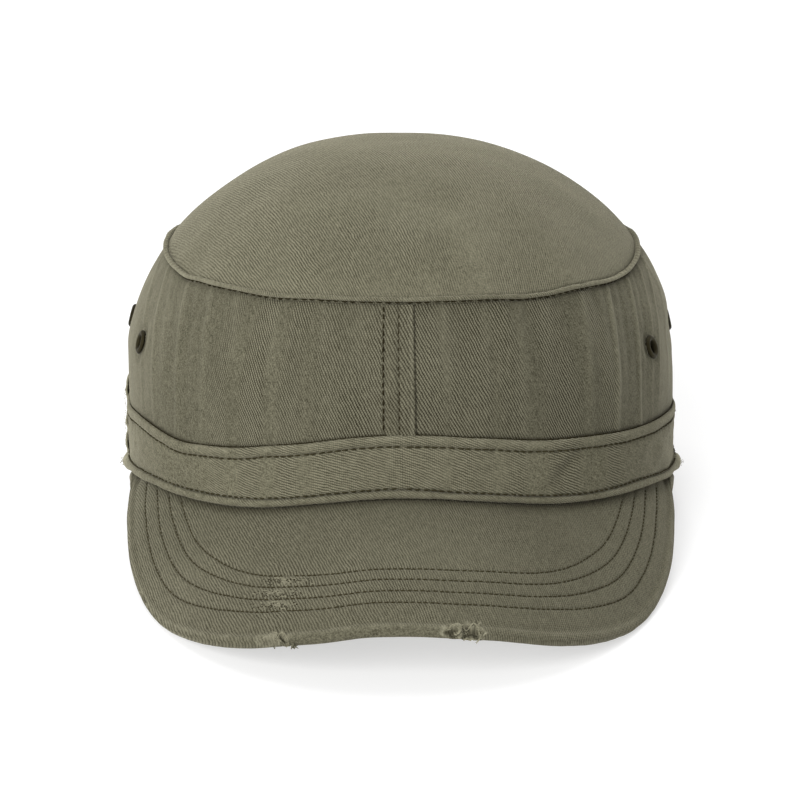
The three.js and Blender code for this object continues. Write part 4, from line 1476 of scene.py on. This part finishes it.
def side_frays():
    """Frayed ends of the rolled edge at both sides, and of the tab."""
    rows = []
    for side in (-1, 1):
        for k, offset in enumerate(np.linspace(-3, 3, 13)):
            turn = np.array([side * radians(NUB_TURN + offset)])
            place = roll_at(turn, np.array([1.9]), np.array([1.6]))[0]
            aim = np.array([side * 0.5, -0.6, -0.7])
            rows += wisps(place, 0.5, 3, 0.6, aim, 2000 + 100 * side + k)
    start = -float(turn_at_y(TAB["start"]))
    for k, up in enumerate(np.linspace(TAB["foot"], TAB["height"], 60)):
        out = 3.0 if up < ROLL + BAND_HEIGHT + 1.5 else 1.5
        plan = wall_plan(np.array([start]), np.zeros(1), np.array([out]))[0]
        place = np.array([plan[0], plan[1], up])
        rows += wisps(place, 0.15, 1, 0.6, np.array([-0.3, -0.8, 0.0]), 2500 + k)
    return rows


# The eyelets

def eyelet_ring(name, side, y, z):
    turn = np.array([side * turn_at_y(y)])
    share = share_at(turn, z)
    middle = cloth_wall(turn, share)[0]
    step = radians(2)
    along = (wall_point(turn + step, share, 0.0) - wall_point(turn - step, share, 0.0))[0]
    up = (wall_point(turn, share + 0.04, 0.0) - wall_point(turn, share - 0.04, 0.0))[0]
    outward = np.cross(along, up)
    outward *= side * np.sign(outward[0]) / np.linalg.norm(outward)
    flange, barrel, bore, rise = (EYELET[k] for k in ("flange", "barrel", "bore", "rise"))
    inner = -WALL_CLOTH - GAP - 0.25
    profile = [
        (bore, inner - 0.3), (bore, 0.15), (bore * 1.06, rise * 0.8), (bore * 1.25, rise + 0.25),
        ((flange + bore) / 2, rise + 0.42), (flange * 0.88, rise + 0.22), (flange * 0.98, rise * 0.6),
        (flange, 0.12), (flange * 0.97, -0.1), (barrel, -0.12), (barrel, inner + 0.1),
        (flange * 0.88, inner), (flange * 0.9, inner - 0.2), (barrel, inner - 0.42),
    ]
    shape = bmesh.new()
    verts = [shape.verts.new((r, 0, h)) for r, h in profile]
    edges = [shape.edges.new((verts[i], verts[(i + 1) % len(verts)])) for i in range(len(verts))]
    bmesh.ops.spin(
        shape, geom=verts + edges, cent=(0, 0, 0), axis=(0, 0, 1), angle=2 * pi, steps=48, use_merge=True,
    )
    bmesh.ops.remove_doubles(shape, verts=shape.verts, dist=1e-4)
    mesh = bpy.data.meshes.new(name)
    shape.to_mesh(mesh)
    shape.free()
    local = np.empty(len(mesh.vertices) * 3)
    mesh.vertices.foreach_get("co", local)
    local = local.reshape(-1, 3)
    crown = unit((local[:, 2] - rise) / 0.35)
    set_value(mesh, "wear_and_painted_light", 0.8 * crown)
    turned = Vector((0, 0, 1)).rotation_difference(Vector(outward)).to_matrix()
    points = local @ np.array(turned).T + middle
    piece = finish_piece("metal_eyelet_" + name, mesh, OLD_METAL, ["eyelet_" + name], points)
    bevel = piece.modifiers.new("soft", "SUBSURF")
    bevel.levels = 1
    bevel.render_levels = 1


# The cap's pieces

front_joint = float(turn_at_x(SEAM["joint"]))
half_gap = GAP / 2 / OPENING["front"]
wall_panel("right", -pi + half_gap, front_joint - half_gap, TWILL["wall_right"])
wall_panel("left", front_joint + half_gap, pi - half_gap, TWILL["wall_left"])
felled_seam("front_seam", True, SEAM["foot"], SEAM["slant"], TWILL["seam"])
felled_seam("back_seam", False, 0, 0, TWILL["seam"])
cloth_top()
rim_ridge()
band()
rolled_edge()
peak()
side_tab()
for place in EYELETS:
    eyelet_ring(*place)
seam_rows = felled_stitches(True, SEAM["foot"], SEAM["slant"]) + felled_stitches(False, 0, 0)
for name, rows, radius, kind, slot in [
    ("stitches_seams", seam_rows, 0.24, "dark", "wall_cloth"),
    ("stitches_rim", rim_stitches(), 0.33, "dark", "top_cloth"),
    ("stitches_band", band_stitches() + roll_stitches(), 0.23, "faded", "band_cloth"),
    ("stitches_lip_and_shadow_line", lip_stitches_and_shadow_line(), 0.27, "dark", "band_cloth"),
    ("stitches_peak", peak_stitches(), 0.21, "faded", "peak_cloth"),
    ("frays_peak", peak_frays() + rubbed_strands(), 0.085, "pale", "peak_cloth"),
    ("torn_cords_peak", torn_cords(), 0.12, "pale", "peak_cloth"),
    ("nubs_peak", hanging_nubs(), 0.22, "nub", "peak_cloth"),
    ("pulled_yarns_peak", pulled_yarns(), 0.15, "dark", "peak_cloth"),
    ("frays_sides", side_frays(), 0.085, "pale", "band_cloth"),
]:
    threads(name, rows, radius, THREAD[kind])


# Floor, light and camera

CAMERA = dict(
    elevation=radians(13), distance=1300, target_height=19.8, lens=188.1, sensor=36, clip_start=0.05,
    shift=(-0.0025, -0.0125),
)
FLOOR_HALF = 4
SKY_STRENGTH = 0.39


def pale_floor():
    shape = bmesh.new()
    bmesh.ops.create_grid(shape, x_segments=1, y_segments=1, size=FLOOR_HALF)
    mesh = bpy.data.meshes.new("floor")
    shape.to_mesh(mesh)
    shape.free()
    mesh.materials.append(floor_material())
    floor = bpy.data.objects.new("floor", mesh)
    bpy.context.scene.collection.objects.link(floor)


def soft_light(name, direction, softness, strength):
    """A wide, far light: the direction points to where it shines from."""
    lamp = bpy.data.lights.new(name, "SUN")
    lamp.angle = radians(softness)
    lamp.energy = strength
    holder = bpy.data.objects.new(name, lamp)
    holder.rotation_euler = Vector(direction).to_track_quat("Z", "Y").to_euler()
    bpy.context.scene.collection.objects.link(holder)


def pale_sky():
    world = bpy.data.worlds.new("pale_sky")
    world.use_nodes = True
    background = world.node_tree.nodes["Background"]
    background.inputs["Color"].default_value = (1, 1, 1, 1)
    background.inputs["Strength"].default_value = SKY_STRENGTH
    bpy.context.scene.world = world


def photo_camera():
    """A long lens a little above the level cap, in front of it, as in the photograph."""
    elevation, distance, target_height = CAMERA["elevation"], CAMERA["distance"], CAMERA["target_height"]
    lens = bpy.data.cameras.new("camera")
    lens.lens = CAMERA["lens"]
    lens.sensor_width = CAMERA["sensor"]
    lens.clip_start = CAMERA["clip_start"]
    lens.shift_x, lens.shift_y = CAMERA["shift"]
    camera = bpy.data.objects.new("camera", lens)
    target = Vector((0, 0, target_height * MM))
    place = target + Vector((0, -cos(elevation), sin(elevation))) * distance * MM
    aim = (target - place).to_track_quat("-Z", "Y").to_matrix().to_4x4()
    camera.matrix_world = STAND @ Matrix.Translation(place) @ aim
    bpy.context.scene.collection.objects.link(camera)
    bpy.context.scene.camera = camera


pale_floor()
pale_sky()
soft_light("key", (-0.92, -1.57, 1.05), 42, 3.30)
soft_light("top", (0.0, 0.9, 1.5), 60, 1.95)
photo_camera()
bpy.context.scene.view_settings.view_transform = "Standard"
